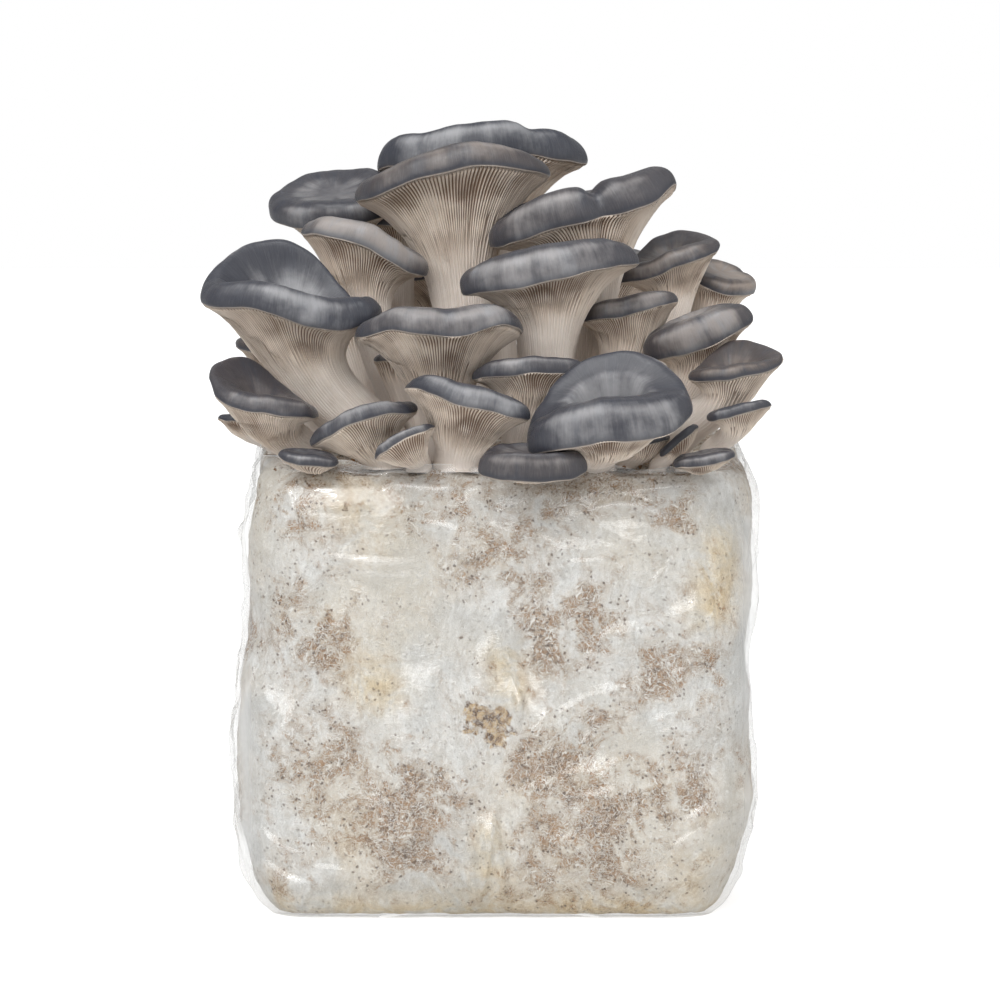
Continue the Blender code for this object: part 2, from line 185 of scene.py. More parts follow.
# Profile of a cap from its sharp margin to its crest: share of the radius, height in lips.
CAP_PROFILE = (
    (0.9920, -0.40), (1.0020, -0.35), (1.0060, -0.20), (1.0020, 0.02), (0.9880, 0.26), (0.9630, 0.49),
    (0.9260, 0.69), (0.8760, 0.85), (0.8120, 0.96), (0.7350, 1.00), (0.6400, 1.00), (0.5300, 1.00),
    (0.4000, 1.00), (0.2600, 1.00), (0.1300, 1.00), (0.0000, 1.00),
)
# How finely a mushroom of at least this half width is modelled: sides, rows up the stem and
# gills, rows over the cap.
FINENESS = ((0.0295, 592, 44, 28), (0.0195, 448, 36, 24), (0.0120, 288, 28, 18), (0.0, 176, 24, 18))


# ---- Sizes and colours that a user would change


class GrowKitSizes(bpy.types.PropertyGroup):
    """Sizes of the bag and of the detail on the mushrooms."""

    bag_width: FloatProperty(name="Bag width", description="Width of the filled bag", unit="LENGTH",
                             default=BAG_HIGH.x - BAG_LOW.x)
    bag_depth: FloatProperty(name="Bag depth", description="Depth of the filled bag, front to back", unit="LENGTH",
                             default=BAG_HIGH.y - BAG_LOW.y)
    crease_height: FloatProperty(name="Crease height", description="How far the film's creases stand up",
                                 unit="LENGTH", default=0.0017, precision=5)
    gill_depth: FloatProperty(name="Gill depth", description="Depth of the gills under a large cap", unit="LENGTH",
                              default=0.0011, precision=5)
    crumbs: IntProperty(name="Crumbs", description="Crumbs of substrate lying round the stems", default=70, min=0)


class GrowKitColours(bpy.types.PropertyGroup):
    cap_slate: FloatVectorProperty(name="Cap slate", description="Dark blue-grey of a cap's skin", subtype="COLOR",
                                   default=(0.037, 0.041, 0.056))
    cap_ash: FloatVectorProperty(name="Cap ash", description="Light grey of a cap's skin", subtype="COLOR",
                                 default=(0.280, 0.285, 0.300))
    cap_fawn: FloatVectorProperty(name="Cap fawn", description="Brown-grey of an ageing cap's skin",
                                  subtype="COLOR", default=(0.330, 0.262, 0.212))
    gill_crest: FloatVectorProperty(name="Gill edge", description="Free edges of the gills", subtype="COLOR",
                                    default=(0.830, 0.715, 0.605))
    # painted shade: the colour drawn in the deep between two gills, where shade falls
    gill_gap_shade: FloatVectorProperty(name="Gill gap", description="Deep between two gills", subtype="COLOR",
                                  default=(0.135, 0.072, 0.042))
    stem: FloatVectorProperty(name="Stem", description="Smooth lower stem", subtype="COLOR",
                              default=(0.700, 0.630, 0.570))
    mycelium: FloatVectorProperty(name="Mycelium", description="White mycelium over the block", subtype="COLOR",
                                  default=(0.570, 0.556, 0.525))
    straw: FloatVectorProperty(name="Straw", description="Bare straw and sawdust", subtype="COLOR",
                               default=(0.300, 0.168, 0.076))
    stain: FloatVectorProperty(name="Stain", description="Yellow liquid stains", subtype="COLOR",
                               default=(0.960, 0.810, 0.560))


# ---- Modelling helpers


def ring_stack(name, sides, rows):
    """A tube modelled from a circle: its open edge is extruded up, ring after ring."""
    bpy.ops.object.select_all(action="DESELECT")
    bpy.ops.mesh.primitive_circle_add(vertices=sides, radius=0.01)
    tube = bpy.context.object
    tube.name = tube.data.name = name
    bpy.ops.object.mode_set(mode="EDIT")
    bpy.ops.mesh.select_all(action="SELECT")
    for _ in range(rows - 1):
        bpy.ops.mesh.extrude_edges_move(TRANSFORM_OT_translate={"value": (0, 0, 0.001)})
    bpy.ops.object.mode_set(mode="OBJECT")
    return tube


def tube_places(tube, sides):
    """Row and spoke number of each vertex of an unshaped ring stack."""
    points = np.empty(len(tube.data.vertices) * 3)
    tube.data.vertices.foreach_get("co", points)
    points = points.reshape(-1, 3)
    row = np.rint(points[:, 2] / 0.001).astype(int)
    spoke = np.rint(np.arctan2(points[:, 1], points[:, 0]) / (2 * math.pi) * sides).astype(int) % sides
    return row, spoke


def own_copy(blank, name):
    """A copy of a modelled blank with a mesh of its own."""
    copy = blank.copy()
    copy.data = blank.data.copy()
    copy.name = copy.data.name = name
    bpy.context.scene.collection.objects.link(copy)
    return copy


def note(mesh, name, kind, values):
    """Stores values on a mesh's vertices, for its material to read."""
    layer = mesh.attributes.new(name, kind, "POINT")
    layer.data.foreach_set("vector" if kind == "FLOAT_VECTOR" else "value", np.ravel(values).astype(np.float32))


def close_up(obj):
    """Merges the rings that were drawn to a point, and turns all faces outwards."""
    bpy.ops.object.select_all(action="DESELECT")
    bpy.context.view_layer.objects.active = obj
    obj.select_set(True)
    bpy.ops.object.mode_set(mode="EDIT")
    bpy.ops.mesh.select_all(action="SELECT")
    bpy.ops.mesh.remove_doubles(threshold=1e-6)
    bpy.ops.mesh.normals_make_consistent(inside=False)
    bpy.ops.object.mode_set(mode="OBJECT")
    bpy.ops.object.shade_smooth()


def finish_with(obj, kind, **settings):
    """Adds a modifier with these settings and applies it."""
    modifier = obj.modifiers.new(kind.title(), kind)
    for key, value in settings.items():
        setattr(modifier, key, value)
    bpy.context.view_layer.objects.active = obj
    bpy.ops.object.modifier_apply(modifier=modifier.name)


def clouds(name, size, depth=2):
    """A soft cloud texture for Displace modifiers, its lumps about this size."""
    texture = bpy.data.textures.new(name, "CLOUDS")
    texture.noise_scale = size
    texture.noise_depth = depth
    return texture


def smooth(x, low, high):
    """0 below low, 1 above high and an even S between."""
    x = np.clip((x - low) / (high - low), 0, 1)
    return x * x * (3 - 2 * x)


def spline(points, at):
    """A smooth curve through rows of numbers, read at these fractional row numbers."""
    points = np.asarray(points, float)
    i = np.clip(at.astype(int), 0, len(points) - 2)
    before, after = np.clip(i - 1, 0, None), np.clip(i + 2, None, len(points) - 1)
    a, b, c, d = points[before], points[i], points[i + 1], points[after]
    t = (at - i)[:, None]
    return b + t * ((c - a) / 2 + t * (a - 2.5 * b + 2 * c - d / 2 + t * (1.5 * (b - c) + (d - a) / 2)))


# ---- Material helpers


class Bench:
    """Adds and joins the nodes of one material."""

    def __init__(self, name):
        self.material = bpy.data.materials.new(name)
        self.material.use_nodes = True
        self.tree = self.material.node_tree
        self.tree.nodes.clear()

    def add(self, kind, sockets=(), **settings):
        node = self.tree.nodes.new("ShaderNode" + kind)
        for key, value in settings.items():
            setattr(node, key, value)
        for key, value in dict(sockets).items():
            self.feed(node.inputs[key], value)
        return node

    def feed(self, socket, value):
        if isinstance(value, bpy.types.NodeSocket):
            self.tree.links.new(value, socket)
        elif socket.type == "RGBA":
            socket.default_value = (*value[:3], 1.0)
        else:
            socket.default_value = value

    def place(self):
        return self.add("TexCoord").outputs["Object"]

    def read(self, name, part="Fac"):
        return self.add("Attribute", attribute_name=name).outputs[part]

    def moved(self, vector, scale=(1, 1, 1), turn=(0, 0, 0), shift=(0, 0, 0)):
        return self.add("Mapping", {"Vector": vector, "Scale": scale, "Rotation": turn, "Location": shift}).outputs[0]

    def noise(self, vector, scale, detail=3.0, rough=0.55, warp=0.0):
        return self.add("TexNoise", {"Vector": vector, "Scale": scale, "Detail": detail, "Roughness": rough,
                                     "Distortion": warp}).outputs[0]

    def cells(self, vector, scale):
        return self.add("TexVoronoi", {"Vector": vector, "Scale": scale}).outputs["Distance"]

    def step(self, value, low, high, start=0.0, end=1.0):
        return self.add("MapRange", {0: value, 1: low, 2: high, 3: start, 4: end},
                        interpolation_type="SMOOTHSTEP").outputs[0]

    def math(self, operation, a, b=0.0, clamp=False):
        return self.add("Math", {0: a, 1: b}, operation=operation, use_clamp=clamp).outputs[0]

    def times(self, a, b):
        return self.math("MULTIPLY", a, b)

    def blend(self, amount, a, b, mode="MIX"):
        return self.add("Mix", {0: amount, 6: a, 7: b}, data_type="RGBA", blend_type=mode).outputs[2]

    def warped(self, vector, scale, amount):
        cloud = self.add("TexNoise", {"Vector": vector, "Scale": scale, "Detail": 2.0}).outputs["Color"]
        centred = self.add("VectorMath", {0: cloud, 1: (0.5, 0.5, 0.5)}, operation="SUBTRACT").outputs[0]
        sized = self.add("VectorMath", {0: centred, "Scale": amount}, operation="SCALE").outputs[0]
        return self.add("VectorMath", {0: vector, 1: sized}, operation="ADD").outputs[0]

    def bump(self, height, depth, strength=1.0, over=None):
        sockets = {"Height": height, "Distance": depth, "Strength": strength}
        if over is not None:
            sockets["Normal"] = over
        return self.add("Bump", sockets).outputs[0]

    def surface(self, shader):
        self.tree.links.new(shader, self.add("OutputMaterial").inputs["Surface"])
        return self.material


def mushroom_flesh(colours):
    """Silky fibrous grey cap skin, tan gills and a pale stem, told apart by the values that each
    mushroom's mesh carries. Painted shade darkens the gaps between the gills, the gills under the
    cap, and the skin at its sides, back, crest and hollow; the skin's dark margin is partly painted shade."""
    b = Bench("oyster mushroom flesh")
    place = b.place()
    spoke, tone_and_shade = b.read("spoke", "Vector"), b.read("tone_and_shade", "Vector")
    skin, gill, across = b.read("skin"), b.read("gill"), b.read("across")
    dark, warm, margin = b.add("SeparateXYZ", {0: tone_and_shade}).outputs

    # cap skin: light and dark drifts that run out to the margin, fine silky fibrils, and painted shade
    outer = b.step(across, 0.15, 0.65)
    drift = b.noise(b.moved(spoke, (0.8, 0.8, 0.5)), 2.6, 3.0, 0.55, 0.5)
    drift = b.math("ADD", b.times(b.math("SUBTRACT", drift, 0.5), b.step(across, 0.05, 0.60)), 0.5)
    streaks = b.noise(b.moved(spoke, (5.0, 5.0, 0.9)), 5.0, 4.0, 0.62, 0.3)
    streaks = b.math("ADD", b.times(b.math("SUBTRACT", streaks, 0.5), outer), 0.5)
    fibrils = b.noise(b.moved(spoke, (26, 26, 1.8)), 6.0, 3.0, 0.6, 0.4)
    fibrils = b.math("ADD", b.times(b.math("SUBTRACT", fibrils, 0.5), outer), 0.5)
    mottle = b.noise(b.warped(place, 30, 0.010), 45, 5.0, 0.62)
    light = b.math("ADD", b.times(drift, 0.60), b.times(streaks, 0.16))
    light = b.math("ADD", light, b.times(mottle, 0.72))
    # dark holds each cap's own tone plus the painted shade at its sides and back
    light = b.math("SUBTRACT", b.math("ADD", light, 0.06), b.times(dark, 0.64))
    # darker at the sharp edge: partly the cap's own dark margin, partly painted shade where the lip curls under
    light = b.math("SUBTRACT", light, b.times(b.step(across, 0.93, 1.0), 0.16))
    # painted shade on the crest of the rolled lip and, next, in the hollow in the middle, so the band between looks lit
    crest = b.times(b.step(across, 0.94, 0.85), b.step(across, 0.50, 0.78))
    light = b.math("SUBTRACT", light, b.times(crest, 0.27))
    light = b.math("SUBTRACT", light, b.times(b.step(across, 0.80, 0.50), 0.10))
    colour = b.blend(b.step(light, 0.23, 0.62), colours.cap_slate, colours.cap_ash)
    fawn = b.times(b.step(b.noise(b.moved(spoke, (1.3, 1.3, 1.0), shift=(3, 1, 2)), 3.0, 3.0), 0.15, 0.55), warm)
    fawn = b.times(fawn, b.step(margin, 0.9, 0.1))
    brown = b.blend(b.step(light, 0.10, 0.80), (0.075, 0.060, 0.055), colours.cap_fawn)
    colour = b.blend(b.times(fawn, 0.85), colour, brown)
    colour = b.blend(b.times(b.step(fibrils, 0.44, 0.75), 0.13), colour, (0.30, 0.295, 0.29))
    colour = b.blend(b.times(b.step(fibrils, 0.50, 0.28), 0.17), colour, (0.035, 0.037, 0.045))
    # the margin rows go near black: the cap's own dark edge, deepened with painted shade under the curl of the lip
    colour = b.blend(b.times(margin, 0.78), colour, (0.024, 0.025, 0.034))

    # gills and stem, with painted shade in the gill gaps and under the cap
    grain = b.noise(b.moved(spoke, (14, 14, 0.8)), 6.0, 3.0, 0.6)
    flesh = b.blend(b.step(across, 0.02, 0.30), colours.stem, colours.gill_crest)
    flesh = b.blend(b.times(b.step(drift, 0.55, 0.32), 0.12), flesh, (0.40, 0.34, 0.30))
    flesh = b.blend(b.times(b.step(grain, 0.42, 0.66), 0.42), flesh, (0.80, 0.74, 0.68))
    flesh = b.blend(b.times(b.step(grain, 0.52, 0.32), 0.40), flesh, (0.38, 0.30, 0.24))
    flesh = b.blend(b.times(b.step(b.noise(place, 90, 3.0), 0.50, 0.75), 0.14), flesh, (0.48, 0.39, 0.31))
    # painted shade: the gaps between the gills are darkened, more so further out towards the cap
    gap = b.times(b.step(gill, 0.80, 0.20), b.step(across, 0.04, 0.55, 0.16, 1.0))
    flesh = b.blend(b.times(gap, 0.92), flesh, colours.gill_gap_shade)
    # painted shade: the gills turn darker brown out towards the cap, which shades them
    flesh = b.blend(b.times(b.step(across, 0.25, 0.80), 0.30), flesh, (0.26, 0.175, 0.115))
    flesh = b.blend(b.times(b.step(across, 0.975, 0.990), 0.40), flesh, (0.36, 0.32, 0.29))

    colour = b.blend(skin, flesh, colour)
    relief = b.math("ADD", b.times(streaks, 0.5), b.times(fibrils, 0.5))
    normal = b.bump(relief, 0.0005, b.math("ADD", b.times(skin, -0.25), 0.60))
    normal = b.bump(b.noise(place, 260, 3.0, 0.6), 0.0002, 0.30, normal)
    rough = b.math("SUBTRACT", b.math("SUBTRACT", 0.72, b.times(skin, 0.34)), b.times(fibrils, 0.10))
    shader = b.add("BsdfPrincipled", {
        "Base Color": colour, "Roughness": rough, "Normal": normal, "Subsurface Weight": 0.10,
        "Subsurface Radius": (1.0, 0.75, 0.55), "Subsurface Scale": 0.0012, "Specular IOR Level": 0.50,
        "Sheen Weight": 0.06, "Sheen Roughness": 0.4})
    return b.surface(shader.outputs[0])


def mycelium_mat(colours):
    """White mycelium felted over straw and sawdust: brown patches under a lace of threads, dark
    specks, yellow stains and one rotten knot at the front."""
    b = Bench("mycelium matted substrate")
    place, marks = b.place(), b.read("marks", "Vector")
    bare, stained, knot = b.add("SeparateXYZ", {0: marks}).outputs
    flow = b.warped(place, 34, 0.016)
    broad = b.noise(flow, 24, 4.0, 0.62)
    medium = b.noise(flow, 95, 5.0, 0.70, 0.6)
    fine = b.noise(b.warped(place, 240, 0.003), 400, 5.0, 0.80, 0.8)
    bent = b.warped(place, 40, 0.014)
    wisps, crossing = (b.noise(b.moved(bent, (1, 1, 0.28), (0, lean, 0)), 330, 4.0, 0.65, 0.8) for lean in (0.6, -1.0))
    wisps = b.add("Mix", {0: b.step(broad, 0.45, 0.55), 2: wisps, 3: crossing}).outputs[0]

    def curls(scale, bend, width):
        line = b.math("ABSOLUTE", b.math("SUBTRACT", b.noise(b.warped(place, 130, 0.005), scale, 2.0, 0.5, bend), 0.5))
        return b.step(line, width, width * 0.2)

    threads = b.math("MAXIMUM", curls(170, 2.2, 0.030), b.times(curls(420, 2.4, 0.050), 0.75))

    white = b.blend(b.step(wisps, 0.34, 0.64), colours.mycelium, (0.770, 0.770, 0.755))
    white = b.blend(b.times(b.step(broad, 0.55, 0.36), 0.50), white, (0.420, 0.418, 0.400))
    white = b.blend(b.times(b.step(fine, 0.52, 0.34), 0.42), white, (0.360, 0.330, 0.290))
    cream = b.times(b.step(b.noise(place, 15, 2.0), 0.42, 0.64), 0.45)
    white = b.blend(cream, white, (0.670, 0.600, 0.480))

    ragged = b.times(bare, b.step(medium, 0.30, 0.66, 0.25, 1.25))
    cover = b.math("ADD", b.times(ragged, 0.34), b.times(broad, 0.66))
    cover = b.math("ADD", cover, b.times(medium, 0.62))
    hazy = b.times(b.step(cover, 0.54, 1.05), 0.66)
    colour = b.blend(hazy, white, (0.430, 0.310, 0.185))
    lumps = b.noise(b.warped(place, 160, 0.004), 230, 3.0, 0.60, 0.5)
    showing = b.math("ADD", b.math("ADD", cover, b.times(lumps, 0.95)), b.times(fine, 0.45))
    bare_straw = b.step(showing, 1.38, 1.74)
    brown = b.blend(b.step(b.noise(place, 230, 4.0, 0.75), 0.36, 0.62), (0.085, 0.042, 0.020), colours.straw)
    brown = b.blend(b.step(b.noise(place, 700, 2.0), 0.50, 0.68), brown, (0.40, 0.30, 0.21))
    bare_straw = b.times(bare_straw, b.math("SUBTRACT", 1.0, b.times(threads, 0.85)))
    colour = b.blend(b.times(bare_straw, 0.88), colour, brown)
    colour = b.blend(b.times(threads, b.step(cover, 0.50, 0.95, 0.35, 0.70)), colour, (0.79, 0.785, 0.765))
    stained = b.math("ADD", stained, b.times(b.step(b.noise(place, 17, 3.0, 0.6), 0.58, 0.76), 0.35), True)
    colour = b.blend(b.times(stained, b.step(medium, 0.25, 0.60)), colour, colours.stain, "MULTIPLY")
    pits = b.times(b.step(b.cells(b.warped(place, 500, 0.002), 400), 0.30, 0.12), b.step(cover, 0.52, 0.80, 0.25, 1.0))
    pits = b.times(pits, b.step(b.noise(place, 110, 3.0), 0.40, 0.54))
    colour = b.blend(b.times(pits, 0.85), colour, (0.090, 0.056, 0.036))
    hole = b.noise(b.warped(place, 220, 0.004), 210, 4.0, 0.65)
    rotten = b.blend(b.step(b.noise(place, 420, 4.0, 0.7), 0.38, 0.62), (0.250, 0.150, 0.070), (0.560, 0.420, 0.250))
    rotten = b.blend(b.step(hole, 0.51, 0.43), rotten, (0.110, 0.056, 0.024))
    edge = b.noise(b.warped(place, 130, 0.006), 125, 3.0, 0.60)
    knot = b.times(b.step(knot, 0.02, 0.16),
                   b.step(b.math("ADD", knot, b.times(b.math("SUBTRACT", edge, 0.5), 2.8)), 0.30, 0.56))
    colour = b.blend(b.times(knot, b.math("SUBTRACT", 1.0, b.times(threads, 0.55))), colour, rotten)

    relief = b.math("ADD", b.times(threads, 0.35), b.times(medium, 1.2))
    relief = b.math("SUBTRACT", relief, b.times(bare_straw, 0.35))
    normal = b.bump(relief, 0.0012, 0.60)
    shader = b.add("BsdfPrincipled", {
        "Base Color": colour, "Roughness": 0.88, "Normal": normal, "Specular IOR Level": 0.25,
        "Subsurface Weight": 0.06, "Subsurface Radius": (1.0, 0.9, 0.75), "Subsurface Scale": 0.0012})
    return b.surface(shader.outputs[0])


def film_mat():
    """Clear creased film: see-through face on, glossier edge on, and hazy white along its creases, over the
    bag's sides and corners and at its hem, partly milky film and partly painted highlight and reflection.
    A broad and a sharp gloss together give it soft sheen and fine glints."""
    b = Bench("clear polypropylene film")
    place = b.place()
    sag = b.noise(b.warped(b.moved(place, (1, 1, 1.5)), 12, 0.020), 24, 2.0, 0.5, 0.6)
    normal = b.bump(sag, 0.0030, 0.36)
    pulls = b.noise(b.moved(b.warped(place, 20, 0.012), (1, 1, 3.2)), 75, 3.0, 0.55, 0.4)
    normal = b.bump(pulls, 0.0010, 0.38, normal)
    broad, sharp = (b.add("BsdfGlossy", {"Color": (1, 1, 1), "Roughness": rough, "Normal": normal})
                    for rough in (0.30, 0.08))
    gloss = b.add("MixShader", {0: 0.36, 1: broad.outputs[0], 2: sharp.outputs[0]})
    clear = b.add("BsdfTransparent", {"Color": (0.99, 0.992, 0.99)})
    rim = b.add("LayerWeight", {"Blend": 0.30, "Normal": normal}).outputs["Facing"]
    shine = b.math("ADD", b.times(b.math("POWER", rim, 3.0), 0.50), 0.072)
    sheet = b.add("MixShader", {0: shine, 1: clear.outputs[0], 2: gloss.outputs[0]})
    # painted highlight and reflection: a white diffuse layer along the creases and over the sides, corners and hem,
    # partly milky film
    milk_and_glare = b.add("BsdfPrincipled", {"Base Color": (0.90, 0.905, 0.90), "Roughness": 0.30, "Normal": normal})
    haze_and_glare = b.math("ADD", b.times(b.math("POWER", b.read("crease"), 2.0), 0.42), 0.012, True)
    return b.surface(b.add("MixShader", {0: haze_and_glare, 1: sheet.outputs[0], 2: milk_and_glare.outputs[0]}).outputs[0])


def crumb_mat(colours):
    """Dry brown crumbs of straw and bran."""
    b = Bench("substrate crumbs")
    place = b.place()
    colour = b.blend(b.step(b.noise(place, 500, 3.0), 0.35, 0.65), (0.10, 0.062, 0.038), colours.straw)
    colour = b.blend(b.step(b.noise(place, 160, 2.0), 0.55, 0.62), colour, (0.66, 0.58, 0.46))
    normal = b.bump(b.noise(place, 900, 3.0), 0.0004, 0.8)
    return b.surface(b.add("BsdfPrincipled", {"Base Color": colour, "Roughness": 0.9, "Normal": normal}).outputs[0])


def floor_mat():
    """Matt pale paper that glows a little, most where it is seen straight on."""
    b = Bench("white paper sweep")
    fibre = b.noise(b.place(), 40, 3.0)
    colour = b.blend(fibre, (0.50, 0.50, 0.50), (0.54, 0.54, 0.54))
    seen = b.add("LightPath").outputs["Is Camera Ray"]
    shader = b.add("BsdfPrincipled", {"Base Color": colour, "Roughness": 0.8, "Specular IOR Level": 0.2,
                                      "Emission Color": (1, 1, 1),
                                      "Emission Strength": b.math("ADD", b.times(seen, 0.45), 0.28),
                                      "Normal": b.bump(fibre, 0.0005, 0.2)})
    return b.surface(shader.outputs[0])


# ---- Mushrooms


def cap_axes(m):
    """Front, side and upward axes of a cap, tipped and rolled."""
    face, tip, roll = (math.radians(a) for a in (m.face, m.tip, m.roll))
    level = np.array((math.cos(face), math.sin(face), 0))
    side = np.array((-math.sin(face), math.cos(face), 0))
    z = np.array((0, 0, 1))
    front = level * math.cos(tip) - z * math.sin(tip)
    up = level * math.sin(tip) + z * math.cos(tip)
    return front, side * math.cos(roll) + up * math.sin(roll), up * math.cos(roll) - side * math.sin(roll)


def cap_edge(m, turn, rng):
    """The cap's edge round its turn, forward, sideways and up: an oval with lobes and the
    small waves of a margin that grew unevenly."""
    out, up = np.ones_like(turn), np.zeros_like(turn)
    for centre, spread, outward, upward in m.lobes:
        bump = np.exp(-(((np.degrees(turn) - centre + 180) % 360 - 180) / spread) ** 2)
        out += outward * bump
        up += upward * bump
    for waves in (3, 4, 5, 7, 9, 13):
        out += 0.030 / waves * np.sin(waves * turn + rng.uniform(0, 7))
        up += 0.042 / waves * np.sin(waves * turn + rng.uniform(0, 7))
    middle = (m.reach - m.back) / 2
    forward = middle + (m.reach + m.back) / 2 * np.cos(turn)
    return forward * out, m.half_width * np.sin(turn) * out, up * m.half_width


def stem_line(m, up, rows):
    """Middle and direction of a stem at each of its rows (0 at the foot, 1 at the hub)."""
    foot = np.array((*m.foot, TOP_MIDDLE + TOP_SLOPE * m.foot[1] - 0.0008))
    hub = np.array(m.hub)
    length = np.linalg.norm(hub - foot)
    z = np.array((0, 0, 1))
    a, b, c, d = foot, foot + z * m.rise * length, hub - (up + z) * 0.5 * m.hang * length, hub
    t = rows[:, None]
    s = 1 - t
    point = a * s**3 + b * 3 * s * s * t + c * 3 * s * t * t + d * t**3
    along = (b - a) * 3 * s * s + (c - b) * 6 * s * t + (d - c) * 3 * t * t
    return point, along / np.linalg.norm(along, axis=1)[:, None]


def grid_normals(grid):
    """Outward direction at each point of a grid of rows and spokes."""
    up = np.gradient(grid, axis=0)
    on = np.roll(grid, -1, axis=1) - np.roll(grid, 1, axis=1)
    normal = np.cross(on, up)
    return normal / np.maximum(np.linalg.norm(normal, axis=2), 1e-12)[:, :, None]


def shape_mushroom(m, number, sides, stem_rows, cap_rows, gill_depth):
    """Places for a mushroom's rows of vertices, and the values its material reads."""
    rng = random.Random(41 + number)
    front, side, up = cap_axes(m)
    turn = 2 * math.pi * np.arange(sides) / sides
    length = float(np.linalg.norm(np.array(m.hub) - np.array((*m.foot, TOP_MIDDLE + TOP_SLOPE * m.foot[1]))))
    flare = min(m.flare * m.half_width, length / 3.4)
    lip = m.lip * m.half_width
    # the lip is full at the cap's front and thins out to its sides and back
    notch = sum((2.4 * outward * np.exp(-((((np.degrees(turn) - centre + 180) % 360 - 180) / spread) ** 2))
                 for centre, spread, outward, _ in m.lobes if outward < 0), np.zeros(sides))
    full = 0.60 + 0.40 * np.clip(np.cos(turn), 0, 1) ** 0.8 + 0.12 * np.clip(-np.cos(turn), 0, 1) + notch

    # rows up the stem and out along the gills, evenly spaced over the surface
    fine = np.linspace(0, 1 - 0.012 * flare / length, 500)
    spread = np.exp((fine - 1) * length / flare)
    spread -= spread[0] * (1 - fine)
    run = np.concatenate(([0], np.cumsum(np.hypot(np.diff(fine) * length, np.diff(spread) * m.half_width))))
    t = np.interp(np.linspace(0, run[-1], stem_rows), run, fine)
    share = np.interp(t, fine, spread)
    middle, along = stem_line(m, up, t)

    # the spokes wander a little, so that no gill runs ruler-straight
    sway = sum(math.pi / sides * 5 / k * np.sin(k * turn[None, :] + rng.uniform(0, 7)
               + share[:, None] * rng.uniform(2, 6)) for k in (2, 5, 11))
    angle = turn[None, :] + sway * np.sin(math.pi * np.clip(share, 0, 1))[:, None]
    edge_x, edge_y, edge_z = cap_edge(m, angle, random.Random(5 + number))
    across = side - along * (along @ side)[:, None]
    across /= np.linalg.norm(across, axis=1)[:, None]
    forth = np.cross(across, along)
    swell = 1 + 0.16 * np.exp(-t / 0.10) + 0.05 * np.sin(3.1 * t + rng.uniform(0, 6))
    oval = [1 + 0.05 * np.sin(k * angle + rng.uniform(0, 7) + 3.5 * t[:, None] * rng.uniform(-1, 1)) / k
            for k in (2, 3, 5, 8)]
    thick = m.stem * swell[:, None] * oval[0] * oval[1] * oval[2] * oval[3]
    stalk = (forth[:, None] * np.cos(angle)[..., None] + across[:, None] * np.sin(angle)[..., None]) * thick[..., None]
    rim = front * edge_x[..., None] + side * edge_y[..., None] + up * edge_z[..., None]
    under = middle[:, None] + stalk * (1 - share)[:, None, None] + rim * share[:, None, None]
    under -= up * (0.38 * lip * full[None, :] * share[:, None] ** 5)[..., None]

    # gills: every eighth spoke carries a long gill, and shorter ones start between them
    pairs = sides // 8
    wave = np.cos(pairs * turn)
    pick = np.rint(turn * pairs / (2 * math.pi)).astype(int) % pairs
    pick_short = np.floor(turn * pairs / (2 * math.pi)).astype(int) % pairs
    long_depth = np.array([rng.uniform(0.75, 1.1) for _ in range(pairs)])[pick]
    start = np.array([rng.uniform(0.05, 0.34) for _ in range(pairs)])[pick_short]
    short = smooth(share[:, None], start[None, :], start[None, :] + 0.12)
    crest = np.maximum(wave, 0) ** 1.2 * long_depth + np.maximum(-wave, 0) ** 1.2 * short * 0.92
    depth = gill_depth * min(1.0, 0.35 + m.half_width / 0.055)
    reach = smooth(share, 0.015, 0.30) * (1 - smooth(share, 0.93, 0.985))
    fade = 0.26 * smooth(t, 0.12, 0.70) * (1 - smooth(share, 0.93, 0.985))
    under = under + grid_normals(under) * (crest * depth * np.maximum(reach, fade)[:, None])[..., None]
    gill = np.clip(crest, 0, 1) * np.maximum(reach, fade * 2)[:, None] + (1 - np.maximum(reach, fade * 2))[:, None]

    # cap, from its rolled edge to its middle
    profile = spline(CAP_PROFILE, np.linspace(0, len(CAP_PROFILE) - 1, cap_rows))
    radius, height = profile[:, 0], profile[:, 1]
    radius[-1] = 0.0
    dark, warm, hollow = LOOKS.get(m.name.removeprefix("mushroom_"), (0.45, 0.35, 0.60))
    sunk = m.dish * (1 - np.clip(radius / hollow, 0, 1) ** 2) ** 1.3
    thin = 1 + (full - 1) * smooth(radius, 0.15, 0.80)[:, None]
    lift = lip * (height[:, None] * thin - sunk[:, None])
    edge_x, edge_y, edge_z = cap_edge(m, turn, random.Random(5 + number))
    ease = np.clip(radius, 0, 1)[:, None] ** 2
    top = (np.array(m.hub) + front * (radius[:, None] * edge_x)[..., None]
           + side * (radius[:, None] * edge_y)[..., None] + up * (ease * edge_z + lift)[..., None])
    ripple = sum(np.sin(k * turn + rng.uniform(0, 7) + 2.0 * radius[:, None]) / k for k in (5, 8, 13, 21))
    top += up * (0.0011 * m.half_width / 0.03 * ripple * (ease * (1.2 - ease)))[..., None]

    foot = np.repeat(middle[:1, None], sides, axis=1)
    grid = np.concatenate((foot, under, top))
    rows = len(grid)
    shares = np.concatenate(([0.0], share, radius))
    skin = np.concatenate((np.zeros(stem_rows + 1), smooth(np.arange(cap_rows), 0.6, 2.2)))
    gills = np.concatenate((np.ones((1, sides)), gill, np.full((cap_rows, sides), 0.8)))
    journey = np.linspace(0, 1, rows) * 1.7 + number * 3.1
    spokes = np.empty((rows, sides, 3))
    spokes[..., 0], spokes[..., 1], spokes[..., 2] = np.cos(turn), np.sin(turn), journey[:, None]
